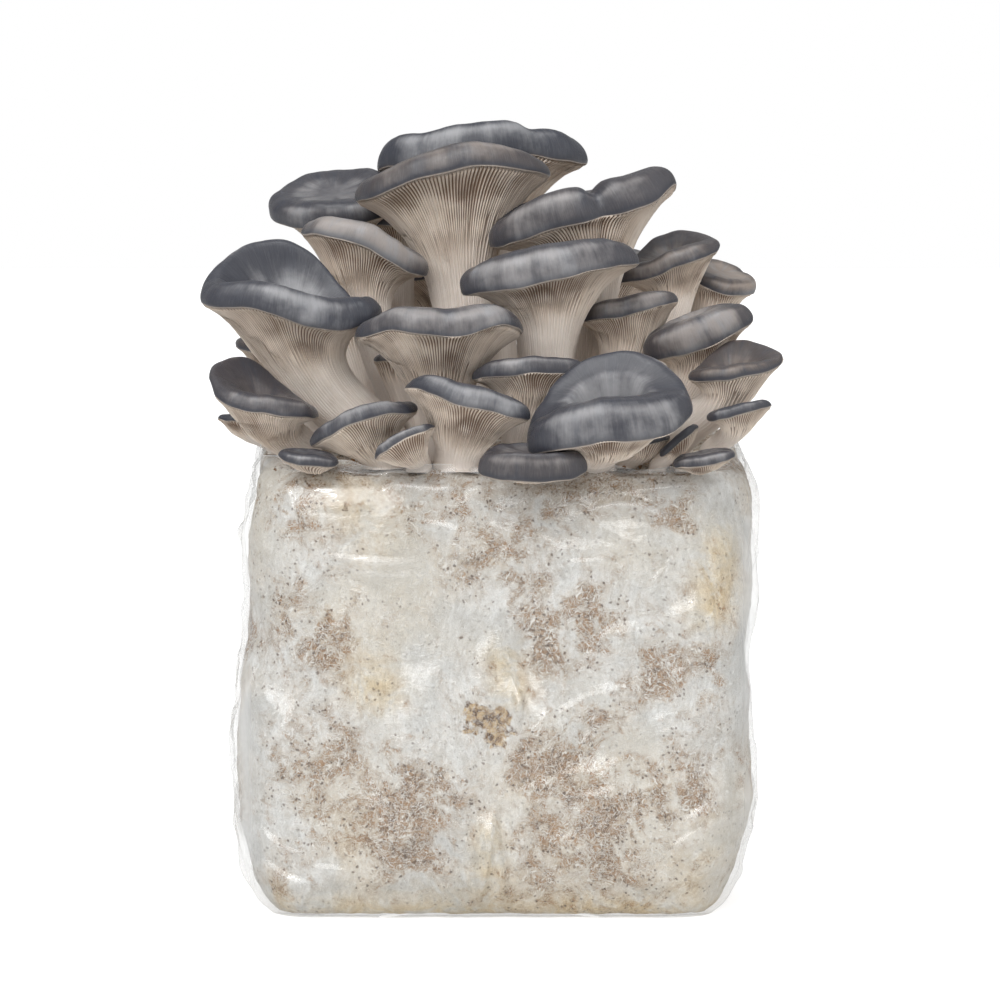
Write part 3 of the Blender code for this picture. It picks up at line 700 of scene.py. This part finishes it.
    # painted shade: the skin is drawn darker towards the cap's sides and back, away from the lit front
    ends = 0.46 * smooth(np.abs(np.sin(turn)), 0.62, 1.0) + 0.30 * smooth(-np.cos(turn), 0.2, 1.0)
    margin = np.zeros(rows)
    margin[-cap_rows:] = 1 - smooth(np.arange(cap_rows), 1.0, 6.0)
    tone_and_shade = np.empty((rows, sides, 3))
    tone_and_shade[..., 0] = dark + ends[None, :] * smooth(shares, 0.45, 1.0)[:, None]
    tone_and_shade[..., 1], tone_and_shade[..., 2] = warm, margin[:, None]
    return grid, {"spoke": spokes, "tone_and_shade": tone_and_shade, "across": np.repeat(shares[:, None], sides, axis=1),
                  "skin": np.repeat(skin[:, None], sides, axis=1), "gill": gills}


class GROWKIT_OT_mushrooms(bpy.types.Operator):
    """Model every oyster mushroom of the cluster, cap, gills and stem in one grown piece"""

    bl_idname = "grow_kit.mushrooms"
    bl_label = "Oyster Mushrooms"

    def execute(self, context):
        sizes = context.scene.grow_kit_sizes
        flesh = mushroom_flesh(context.scene.grow_kit_colours)
        lumps = clouds("mushroom lumps", 0.016)
        blanks = {}
        for number, m in enumerate(CLUSTER):
            _, sides, stem_rows, cap_rows = next(f for f in FINENESS if m.half_width >= f[0])
            if sides not in blanks:
                blank = ring_stack(f"mushroom_blank_{sides}", sides, 1 + stem_rows + cap_rows)
                blanks[sides] = blank, tube_places(blank, sides)
            blank, (row, spoke) = blanks[sides]
            mushroom = own_copy(blank, "oyster_" + m.name.removeprefix("mushroom_"))
            grid, values = shape_mushroom(m, number, sides, stem_rows, cap_rows, sizes.gill_depth)
            mushroom.data.vertices.foreach_set("co", grid[row, spoke].ravel())
            for name, value in values.items():
                note(mushroom.data, name, "FLOAT_VECTOR" if value.ndim == 3 else "FLOAT", value[row, spoke])
            close_up(mushroom)
            finish_with(mushroom, "DISPLACE", texture=lumps, strength=0.0016, mid_level=0.5)
            mushroom.data.materials.append(flesh)
            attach(mushroom, "root")
            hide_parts(m.name)
        for blank, _ in blanks.values():
            bpy.data.objects.remove(blank)
        return {"FINISHED"}


# ---- Block and bag


def top_height(y):
    """Height of the block's sloping top at this depth."""
    return TOP_MIDDLE + TOP_SLOPE * y


def outline(sizes, sides, inset):
    """A rounded rectangle seen from above, drawn in by inset at each of its rows, its points
    counted from the middle of the front and closest there. Also how far round each one is."""
    half_x, half_y = sizes.bag_width / 2 - CORNER_RADIUS, sizes.bag_depth / 2 - CORNER_RADIUS
    arc = CORNER_RADIUS * math.pi / 2
    ends = np.cumsum((half_x, arc, 2 * half_y, arc, 2 * half_x, arc, 2 * half_y, arc, half_x))
    part = np.arange(sides) / sides
    way = ends[-1] * (part - 0.40 * np.sin(2 * math.pi * part) / (2 * math.pi))
    x, y, nx, ny = (np.zeros(sides) for _ in range(4))
    starts = np.concatenate(([0], ends[:-1]))
    straights = ((0, (0, -1), (1, 0), 0.0), (2, (1, 0), (0, 1), -half_y), (4, (0, 1), (-1, 0), -half_x),
                 (6, (-1, 0), (0, -1), -half_y), (8, (0, -1), (1, 0), -half_x))
    for index, normal, heading, begin in straights:
        here = (way >= starts[index]) & (way <= ends[index])
        along = begin + way[here] - starts[index]
        x[here] = normal[0] * (half_x + CORNER_RADIUS) + heading[0] * along
        y[here] = normal[1] * (half_y + CORNER_RADIUS) + heading[1] * along
        nx[here], ny[here] = normal
    for index, (sx, sy), begin in ((1, (1, -1), -90), (3, (1, 1), 0), (5, (-1, 1), 90), (7, (-1, -1), 180)):
        here = (way > starts[index]) & (way < ends[index])
        angle = math.radians(begin) + (way[here] - starts[index]) / CORNER_RADIUS
        nx[here], ny[here] = np.cos(angle), np.sin(angle)
        x[here] = sx * half_x + CORNER_RADIUS * nx[here]
        y[here] = sy * half_y + CORNER_RADIUS * ny[here]
    inset = np.asarray(inset)[:, None]
    around = np.where(way > ends[-1] / 2, way - ends[-1], way)
    return x - nx * inset, y - ny * inset, around


def wall_grid(sizes, sides, inset, wall_rows):
    """Rows of points up the bag's wall and over its shoulder, their outward directions and how
    far round and how high each is."""
    level = np.linspace(0, 1, wall_rows)
    level = 0.65 * level + 0.35 * (0.5 - 0.5 * np.cos(math.pi * level))
    shares, steps = (np.array(column) for column in zip(*WALL))
    step = np.interp(level, shares, steps)
    kernel = np.array((1, 2, 3, 2, 1)) / 9
    step = np.concatenate((step[:2], np.convolve(step, kernel, "valid"), step[-2:]))
    x, y, around = outline(sizes, sides, step + inset)
    z = level[:, None] * top_height(y) + inset * (1 - 2 * level[:, None])
    left = np.interp(z, *(np.array(column) for column in zip(*LEFT_BULGE)))
    right = np.interp(z, *(np.array(column) for column in zip(*RIGHT_BULGE)))
    x += np.where(x < 0, -left, right) * smooth(np.abs(x), 0.05, 0.09)
    grid = np.stack((x, y, z), axis=2)
    return grid, np.broadcast_to(around, x.shape), z


def crease(around, height, start, end, bow, width, stand):
    """How far one crease lifts the film: a bowed line from start to end, fading at both ends."""
    (u0, z0), (u1, z1) = start, end
    du, dz = u1 - u0, z1 - z0
    span = math.hypot(du, dz)
    t = ((around - u0) * du + (height - z0) * dz) / span**2
    off = ((height - z0) * du - (around - u0) * dz) / span - bow * 4 * t * (1 - t)
    ends = smooth(t, -0.05, 0.25) * (1 - smooth(t, 0.75, 1.05))
    ridge = np.where(off > 0, np.exp(-((off / (width * 0.55)) ** 2)), np.exp(-((off / (width * 1.6)) ** 2)))
    return stand * ends * ridge


# Folds that the block grew into: start and end (round the bag from the middle of its front,
# height), bow, width and how far it stands up.
BLOCK_FOLDS = (
    ((-0.0010, 0.116), (0.0105, 0.078), 0.0010, 0.0022, 0.0014),
    ((0.0105, 0.094), (0.0085, 0.062), -0.001, 0.0020, 0.0018),
    ((-0.0010, 0.112), (-0.0080, 0.084), -0.0010, 0.0030, 0.0005),
    ((0.004, 0.100), (0.030, 0.074), -0.004, 0.0060, 0.0010),
    ((-0.001, 0.046), (-0.010, -0.002), 0.001, 0.0032, 0.0028),
    ((-0.001, 0.046), (0.006, -0.002), -0.001, 0.0032, 0.0026),
    ((0.000, 0.044), (0.055, 0.060), 0.004, 0.0070, 0.0013),
    ((0.000, 0.044), (0.045, 0.026), -0.003, 0.0070, 0.0012),
    ((-0.002, 0.044), (-0.050, 0.034), 0.003, 0.0070, 0.0012),
    ((-0.002, 0.044), (-0.045, 0.066), -0.004, 0.0070, 0.0012),
    ((0.030, 0.110), (0.085, 0.128), -0.006, 0.0080, 0.0010),
    ((-0.085, 0.110), (-0.040, 0.092), 0.006, 0.0090, 0.0009),
    ((-0.104, 0.090), (-0.060, 0.060), 0.005, 0.0080, 0.0010),
    ((0.050, 0.070), (0.098, 0.080), 0.006, 0.0080, 0.0010),
    ((-0.030, 0.020), (-0.090, 0.008), 0.004, 0.0080, 0.0010),
)
# Creases of the film at the front.
FILM_CREASES = (
    ((-0.068, 0.1435), (-0.028, 0.1410), -0.0020, 0.0016, 1.00),
    ((-0.066, 0.1410), (-0.026, 0.1375), -0.0035, 0.0016, 0.90),
    ((-0.044, 0.1720), (-0.012, 0.1690), -0.0025, 0.0018, 0.95),
    ((-0.040, 0.1690), (-0.014, 0.1665), 0.0010, 0.0014, 0.60),
    ((-0.060, 0.1300), (-0.035, 0.1265), -0.0020, 0.0022, 0.50),
    ((-0.034, 0.1545), (-0.008, 0.1480), 0.0025, 0.0014, 0.50),
    ((0.036, 0.1600), (0.068, 0.1560), 0.0040, 0.0020, 1.10),
    ((0.040, 0.1560), (0.062, 0.1480), -0.0030, 0.0020, 0.70),
    ((0.018, 0.1695), (0.052, 0.1745), 0.0010, 0.0015, 0.80),
    ((0.052, 0.1690), (0.082, 0.1725), -0.0020, 0.0018, 0.90),
    ((0.094, 0.165), (0.098, 0.125), 0.0050, 0.0030, 0.70),
    ((0.104, 0.150), (0.104, 0.105), 0.0060, 0.0030, 0.60),
    ((-0.090, 0.172), (-0.078, 0.145), 0.0030, 0.0014, 0.70),
    ((-0.104, 0.165), (-0.098, 0.120), -0.0040, 0.0022, 0.80),
    ((-0.112, 0.130), (-0.100, 0.080), 0.0040, 0.0024, 0.70),
    ((0.070, 0.036), (0.098, 0.052), 0.0030, 0.0022, 0.90),
    ((0.066, 0.026), (0.100, 0.040), 0.0050, 0.0022, 0.80),
    ((0.078, 0.016), (0.102, 0.030), 0.0030, 0.0020, 0.80),
    ((0.020, 0.010), (0.040, 0.018), 0.0060, 0.0020, 0.55),
    ((-0.102, 0.046), (-0.070, 0.024), -0.0050, 0.0024, 0.80),
    ((-0.098, 0.030), (-0.072, 0.014), -0.0040, 0.0020, 0.80),
    ((-0.074, 0.020), (-0.052, 0.017), 0.0020, 0.0020, 0.60),
    ((-0.078, 0.098), (-0.055, 0.092), 0.0020, 0.0024, 0.40),
    ((0.020, 0.078), (0.060, 0.092), 0.0040, 0.0024, 0.45),
)


# Middle of the rotten knot: round the bag from the middle of its front, and height.
KNOT_PLACE = (-0.003, 0.0765)
# Where the mycelium is thin and the straw shows: place (as above), radius, strength.
BARE_PATCHES = (
    (-0.086, 0.123, 0.008, 0.8), (-0.071, 0.113, 0.009, 1.0), (-0.066, 0.103, 0.007, 0.8), (0.000, 0.138, 0.008, 0.8),
    (0.009, 0.131, 0.007, 0.6), (0.020, 0.156, 0.009, 0.6), (0.018, 0.112, 0.008, 0.9), (0.033, 0.119, 0.009, 1.1),
    (0.038, 0.112, 0.006, 0.9), (0.020, 0.101, 0.007, 1.0), (0.060, 0.094, 0.007, 1.0), (0.066, 0.104, 0.006, 0.7),
    (0.084, 0.098, 0.008, 0.9), (-0.058, 0.069, 0.009, 0.7), (-0.029, 0.045, 0.009, 1.0), (-0.041, 0.040, 0.009, 1.0),
    (-0.048, 0.033, 0.007, 0.8), (-0.020, 0.050, 0.008, 1.0), (-0.033, 0.055, 0.006, 0.8), (0.013, 0.060, 0.007, 1.0),
    (0.026, 0.055, 0.008, 1.0), (0.032, 0.066, 0.010, 0.9), (0.037, 0.047, 0.009, 1.0), (0.045, 0.040, 0.008, 1.0),
    (0.040, 0.078, 0.010, 0.6), (0.064, 0.056, 0.007, 0.9), (0.077, 0.049, 0.008, 0.8), (0.060, 0.041, 0.007, 0.6),
    (-0.036, 0.027, 0.009, 0.9), (-0.024, 0.024, 0.007, 0.7), (0.046, 0.024, 0.010, 0.9), (0.032, 0.016, 0.009, 0.7),
    (0.018, 0.032, 0.008, 0.7), (-0.074, 0.052, 0.009, 0.9), (-0.084, 0.062, 0.006, 0.6), (-0.068, 0.178, 0.012, 0.7),
    (-0.085, 0.166, 0.009, 0.8), (-0.078, 0.158, 0.007, 0.6), (-0.040, 0.162, 0.010, 0.6), (-0.020, 0.170, 0.010, 0.5),
    (0.018, 0.176, 0.012, 0.6), (0.050, 0.176, 0.010, 0.7), (0.072, 0.160, 0.008, 0.7), (0.065, 0.152, 0.007, 0.5),
    (-0.010, 0.147, 0.012, 0.5), (-0.078, 0.030, 0.007, 0.7), (-0.090, 0.012, 0.008, 0.6), (0.000, 0.003, 0.012, 0.5),
)
STAINS = (
    (0.090, 0.143, 0.010, 0.9), (0.088, 0.128, 0.009, 0.8), (0.082, 0.120, 0.007, 0.7), (-0.050, 0.095, 0.009, 0.8),
    (-0.044, 0.088, 0.006, 0.6), (-0.054, 0.164, 0.010, 0.45), (-0.066, 0.166, 0.008, 0.3), (-0.058, 0.031, 0.008, 0.5),
    (-0.003, 0.034, 0.006, 0.7), (-0.003, 0.022, 0.006, 0.7), (-0.002, 0.010, 0.007, 0.8), (0.002, 0.103, 0.005, 0.9),
    (0.006, 0.091, 0.006, 1.0), (-0.048, 0.150, 0.012, 0.3), (0.080, 0.012, 0.008, 0.5), (-0.092, 0.010, 0.007, 0.6),
    (0.030, 0.002, 0.010, 0.8), (0.055, 0.002, 0.010, 0.8), (-0.022, 0.002, 0.010, 0.8), (-0.050, 0.003, 0.010, 0.6),
)


def patches(around, height, spots):
    """Soft round marks at these places on the wall."""
    return np.clip(sum(0.86 * strength * np.exp(-(((around - u) ** 2 + (height - z) ** 2) / (1.3 * radius) ** 2))
                       for u, z, radius, strength in spots), 0, 1.2)


def random_spots(rng, around_half, count):
    """Places for marks round the sides and the back."""
    return [(rng.choice((-1, 1)) * rng.uniform(0.108, around_half), rng.uniform(0.005, 0.185),
             rng.uniform(0.006, 0.011), rng.uniform(0.5, 1.1)) for _ in range(count)]


def random_creases(rng, around_half, count):
    """Creases for the sides and the back of the bag, mostly level near its mouth and slanting
    in towards its lower corners."""
    for _ in range(count):
        u = rng.choice((-1, 1)) * rng.uniform(0.11, around_half)
        z = rng.uniform(0.01, 0.185)
        slant = rng.gauss(0, 0.35) if z > 0.13 else rng.gauss(0, 0.9)
        span = rng.uniform(0.018, 0.055)
        end = (u + span * math.cos(slant), min(max(z + span * math.sin(slant), 0.004), 0.186))
        yield (u, z), end, rng.gauss(0, 0.004), rng.uniform(0.0014, 0.0030), rng.uniform(0.35, 1.0)


def small_creases(rng, count):
    """Short faint creases over the front: level near the mouth, then running out from the knot."""
    lines = []
    for _ in range(count):
        u, z = rng.uniform(-0.105, 0.105), rng.uniform(0.006, 0.180)
        slant = rng.gauss(0, 0.20) if z > 0.125 else math.atan2(z - 0.05, u) + rng.gauss(0, 0.35)
        span = rng.uniform(0.010, 0.034)
        end = u + span * math.cos(slant), min(max(z + span * math.sin(slant), 0.003), 0.184)
        lines.append(((u, z), end, rng.gauss(0, 0.002), rng.uniform(0.0012, 0.0022), rng.uniform(0.15, 0.50)))
    return lines


def lumps_on(grid):
    """Broad unevenness shared by the block and the film that clings to it."""
    x, y, z = np.moveaxis(grid, 2, 0)
    rng = random.Random(12)
    total = np.zeros_like(x)
    for scale, size in ((48, 0.0011), (75, 0.0009), (120, 0.0006), (210, 0.0003)):
        for _ in range(3):
            a, b, c = (rng.gauss(0, 1) * scale for _ in range(3))
            total += size / 1.7 * np.sin(a * x + rng.uniform(0, 7) + b * y + c * z + 0.8 * np.sin(0.6 * c * x + b * z))
    return total


def outward(grid):
    """Outward direction at each point of a wall grid."""
    normal = grid_normals(grid)
    middle = grid.mean(axis=(0, 1))
    flip = np.sign(np.sum(normal * (grid - middle), axis=2))
    return normal * np.where(flip == 0, 1, flip)[..., None]


def knot_mask(around, height):
    """Where the rotten knot shows at the front, fading outwards."""
    u, z = around - KNOT_PLACE[0], height - KNOT_PLACE[1]
    return 1 - smooth(np.hypot(u * 0.85, z + 0.3 * u), 0.002, 0.0120)


class GROWKIT_OT_block(bpy.types.Operator):
    """Model the block of straw and sawdust that mycelium has bound together"""

    bl_idname = "grow_kit.block"
    bl_label = "Mycelium Block"

    def execute(self, context):
        sizes = context.scene.grow_kit_sizes
        sides, wall_rows, base_rows, top_rows = 480, 120, 8, 26
        wall, around, height = wall_grid(sizes, sides, 0.0012, wall_rows)
        lift = lumps_on(wall) + sum(crease(around, height, *fold) for fold in BLOCK_FOLDS)
        knot = knot_mask(around, height)
        rng = random.Random(8)
        bits = sum(np.sin(a * around + b * height + rng.uniform(0, 7)) for a, b in
                   [(rng.gauss(0, 900), rng.gauss(0, 900)) for _ in range(6)])
        lift += knot * (0.0004 * bits - 0.0008)
        lift *= smooth(height, 0.0, 0.02) * (1 - 0.6 * smooth(height / top_height(wall[..., 1]), 0.93, 1.0))
        wall = wall + outward(wall) * lift[..., None]
        # the block has shrunk a little away from the film at its left and right
        loose = 0.0008 + 0.0007 * np.sin(46 * height + 1) + 0.0004 * np.sin(130 * height + 9 * wall[..., 1])
        wall[..., 0] -= np.sign(wall[..., 0]) * loose * smooth(np.abs(wall[..., 0]), 0.070, 0.098)

        def inward(rim, rows, bulge):
            """Rows from a rim in to its middle."""
            middle = rim.mean(axis=0)
            for share in np.linspace(0, 1, rows + 1)[1:]:
                ring = rim * (1 - share) + middle * share
                ring[:, 2] += bulge(ring)
                yield ring

        def crust(ring):
            x, y = ring[:, 0], ring[:, 1]
            level = top_height(y) - ring[:, 2]
            return level + 0.0009 * (np.sin(130 * x + 1) * np.sin(150 * y) + np.sin(310 * x + 90 * y)) - 0.0006

        floor = list(inward(wall[0], base_rows, lambda ring: 0.0))[::-1]
        top = list(inward(wall[-1], top_rows, crust))
        top[-1][:] = top[-1].mean(axis=0)
        grid = np.concatenate((np.array(floor), wall, np.array(top)))
        marks = np.zeros((*grid.shape[:2], 3))
        marks[:base_rows, :, 0], marks[base_rows + wall_rows:, :, 0] = 0.4, 0.75
        rng = random.Random(77)
        strip = 0.55 * (1 - smooth(height, 0.002, 0.011 + 0.004 * np.sin(60 * around) + 0.002 * np.sin(170 * around)))
        bare, stained = (patches(around, height, list(spots) + random_spots(rng, 0.32, count))
                         for spots, count in ((BARE_PATCHES, 110), (STAINS, 26)))
        marks[base_rows:base_rows + wall_rows] = np.stack((bare, stained + strip, knot), axis=2)

        block = ring_stack("mycelium_block", sides, len(grid))
        row, spoke = tube_places(block, sides)
        block.data.vertices.foreach_set("co", grid[row, spoke].ravel())
        note(block.data, "marks", "FLOAT_VECTOR", marks[row, spoke])
        close_up(block)
        finish_with(block, "DISPLACE", texture=clouds("block dents", 0.007, 3), strength=0.0011, mid_level=0.55)
        block.data.materials.append(mycelium_mat(context.scene.grow_kit_colours))
        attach(block, "root")
        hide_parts("substrate_block")
        return {"FINISHED"}


class GROWKIT_OT_bag(bpy.types.Operator):
    """Model the clear film bag, clinging to the block, creased, and open at the top"""

    bl_idname = "grow_kit.bag"
    bl_label = "Film Bag"

    def execute(self, context):
        sizes = context.scene.grow_kit_sizes
        sides, wall_rows, base_rows, hem_rows = 520, 156, 5, 8
        wall, around, height = wall_grid(sizes, sides, 0.0, wall_rows)
        lines = list(FILM_CREASES) + list(random_creases(random.Random(20), 0.28, 90))
        lines += small_creases(random.Random(6), 70)
        creases = np.maximum.reduce([crease(around, height, *line) for line in lines])
        lift = lumps_on(wall) + sum(crease(around, height, *fold) for fold in BLOCK_FOLDS)
        lift *= smooth(height, 0.0, 0.02) * (1 - 0.6 * smooth(height / top_height(wall[..., 1]), 0.93, 1.0))
        lift += creases * sizes.crease_height * smooth(height, 0.0, 0.012)
        wall = wall + outward(wall) * lift[..., None]

        # hem: the film stands up past the block's edge, most at the back and the side corners
        rim, u = wall[-1], around[-1]
        tall = 0.0038 + 0.0062 * smooth(rim[:, 1], -0.03, 0.05) + 0.0025 * smooth(np.abs(rim[:, 0]), 0.080, 0.094)
        tall -= 0.0030 * np.exp(-(((rim[:, 0] - 0.014) / 0.020) ** 2)) * (rim[:, 1] < 0)
        tall += 0.0013 * np.sin(70 * u + 1) + 0.0009 * np.sin(190 * u)
        hem = []
        for share in np.linspace(0, 1, hem_rows + 1)[1:]:
            ring = rim.copy()
            lean = 0.0010 * np.sin(110 * u) * share + 0.0006 * np.sin(260 * u + 2) * share
            ring[:, 0] += np.sign(rim[:, 0]) * lean
            ring[:, 1] += np.sign(rim[:, 1]) * lean
            ring[:, 2] += tall * share
            hem.append(ring)
        middle = wall[0].mean(axis=0)
        floor = [wall[0] * (1 - share) + middle * share for share in np.linspace(1, 0, base_rows + 1)[:-1]]
        grid = np.concatenate((np.array(floor), wall, np.array(hem)))
        marks = np.zeros(grid.shape[:2])
        side = smooth(np.abs(wall[..., 0]), 0.088, 0.100)
        corner = smooth(np.abs(wall[..., 1]), 0.036, 0.056)
        # painted highlight along the creases, and painted reflection at the sides and corners where the film is seen
        # edge on; partly milky film
        marks[base_rows:base_rows + wall_rows] = np.maximum(0.66 * creases, side * (0.48 + 0.72 * corner))
        # the standing hem is a little hazier, and its cut edge gets a white line of painted highlight
        marks[base_rows + wall_rows:] = 0.45
        marks[-1] = 1.0

        bag = ring_stack("clear_film_bag", sides, len(grid))
        row, spoke = tube_places(bag, sides)
        bag.data.vertices.foreach_set("co", grid[row, spoke].ravel())
        note(bag.data, "crease", "FLOAT", marks[row, spoke])
        close_up(bag)
        finish_with(bag, "DISPLACE", texture=clouds("film ripples", 0.012, 1), strength=0.0006, mid_level=0.3)
        bag.data.materials.append(film_mat())
        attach(bag, "root")
        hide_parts("grow_bag")
        return {"FINISHED"}


class GROWKIT_OT_crumbs(bpy.types.Operator):
    """Scatter crumbs of straw and bran over the block's top, between the stems"""

    bl_idname = "grow_kit.crumbs"
    bl_label = "Substrate Crumbs"

    def execute(self, context):
        rng = random.Random(31)
        made = []
        while len(made) < context.scene.grow_kit_sizes.crumbs:
            x, y = rng.uniform(-0.088, 0.088), rng.choice((rng.uniform(-0.050, -0.040), rng.uniform(-0.04, 0.048)))
            bpy.ops.object.select_all(action="DESELECT")
            bpy.ops.mesh.primitive_ico_sphere_add(subdivisions=1, radius=rng.uniform(0.0006, 0.0015),
                                                  location=(x, y, top_height(y) + 0.0004),
                                                  rotation=[rng.uniform(0, 3) for _ in range(3)],
                                                  scale=(rng.uniform(0.8, 2.6), rng.uniform(0.6, 1.0), 0.6))
            bpy.ops.object.mode_set(mode="EDIT")
            bpy.ops.mesh.select_all(action="SELECT")
            bpy.ops.transform.vertex_random(offset=0.0004, seed=len(made))
            bpy.ops.object.mode_set(mode="OBJECT")
            made.append(context.object)
        bpy.ops.object.select_all(action="DESELECT")
        for crumb in made:
            crumb.select_set(True)
        context.view_layer.objects.active = made[0]
        bpy.ops.object.join()
        crumbs = context.object
        crumbs.name = crumbs.data.name = "substrate_crumbs"
        bpy.ops.object.transform_apply(location=True, rotation=True, scale=True)
        crumbs.data.materials.append(crumb_mat(context.scene.grow_kit_colours))
        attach(crumbs, "root")
        return {"FINISHED"}


# ---- Stage


class GROWKIT_OT_stage(bpy.types.Operator):
    """Lay the white floor and set up the soft lights and the camera"""

    bl_idname = "grow_kit.stage"
    bl_label = "Stage"

    def execute(self, context):
        bpy.ops.object.select_all(action="DESELECT")
        bpy.ops.mesh.primitive_circle_add(vertices=96, radius=30.0, fill_type="NGON", location=(0, 0, -0.0002))
        floor = context.object
        floor.name = "stage_floor"
        bpy.ops.object.transform_apply(location=True)
        floor.data.materials.append(floor_mat())

        world = bpy.data.worlds.new("soft white room")
        world.use_nodes = True
        nodes, links = world.node_tree.nodes, world.node_tree.links
        room = nodes["Background"]
        room.inputs["Strength"].default_value = 0.34
        seen = nodes.new("ShaderNodeBackground")
        seen.inputs["Color"].default_value = (1, 1, 1, 1)
        ray = nodes.new("ShaderNodeLightPath")
        pick = nodes.new("ShaderNodeMixShader")
        room.inputs["Color"].default_value = (1, 1, 1, 1)
        links.new(ray.outputs["Is Camera Ray"], pick.inputs[0])
        links.new(room.outputs[0], pick.inputs[1])
        links.new(seen.outputs[0], pick.inputs[2])
        links.new(pick.outputs[0], nodes["World Output"].inputs["Surface"])
        context.scene.world = world

        for name, azimuth, elevation, strength, spread in (
                ("key", -112, 40, 2.28, 60), ("fill", -28, 22, 0.80, 70), ("crown", 80, 68, 0.30, 50),
                ("glint", -104, 46, 0.42, 10)):
            lamp = bpy.data.lights.new(name, "SUN")
            lamp.energy, lamp.angle = strength, math.radians(spread)
            holder = bpy.data.objects.new(name, lamp)
            a, e = math.radians(azimuth), math.radians(elevation)
            towards = Vector((math.cos(a) * math.cos(e), math.sin(a) * math.cos(e), math.sin(e)))
            holder.rotation_euler = towards.to_track_quat("Z", "Y").to_euler()
            context.scene.collection.objects.link(holder)

        camera = bpy.data.cameras.new("front camera")
        camera.lens, camera.sensor_width = 135.0, 36.0
        holder = bpy.data.objects.new("front_camera", camera)
        aim, distance, rise = Vector((0.0012, 0.0, 0.1593)), 1.5, math.radians(4)
        holder.location = aim + Vector((0, -math.cos(rise), math.sin(rise))) * distance
        holder.rotation_euler = (math.radians(90) - rise, 0, 0)
        context.scene.collection.objects.link(holder)
        context.scene.camera = holder
        context.scene.view_settings.view_transform = "Standard"
        return {"FINISHED"}


class GROWKIT_PT_panel(bpy.types.Panel):
    """Sizes, colours and pieces of the grow kit"""

    bl_idname = "GROWKIT_PT_panel"
    bl_label = "Grow Kit"
    bl_space_type = "VIEW_3D"
    bl_region_type = "UI"
    bl_category = "Grow Kit"

    def draw(self, context):
        for group in (context.scene.grow_kit_sizes, context.scene.grow_kit_colours):
            box = self.layout.box()
            for name in group.__annotations__:
                box.prop(group, name)
        for operator in OPERATORS:
            self.layout.operator(operator.bl_idname)


OPERATORS = (GROWKIT_OT_stage, GROWKIT_OT_block, GROWKIT_OT_bag, GROWKIT_OT_mushrooms, GROWKIT_OT_crumbs)
GROUPS = (GrowKitSizes, GrowKitColours)


def register():
    for cls in (*GROUPS, *OPERATORS, GROWKIT_PT_panel):
        bpy.utils.register_class(cls)
    bpy.types.Scene.grow_kit_sizes = PointerProperty(type=GrowKitSizes)
    bpy.types.Scene.grow_kit_colours = PointerProperty(type=GrowKitColours)


def unregister():
    del bpy.types.Scene.grow_kit_sizes, bpy.types.Scene.grow_kit_colours
    for cls in (GROWKIT_PT_panel, *reversed(OPERATORS), *GROUPS):
        bpy.utils.unregister_class(cls)


def main():
    register()
    bpy.ops.grow_kit.stage()
    bpy.ops.grow_kit.block()
    bpy.ops.grow_kit.bag()
    bpy.ops.grow_kit.mushrooms()
    bpy.ops.grow_kit.crumbs()


if __name__ == "__main__":
    main()
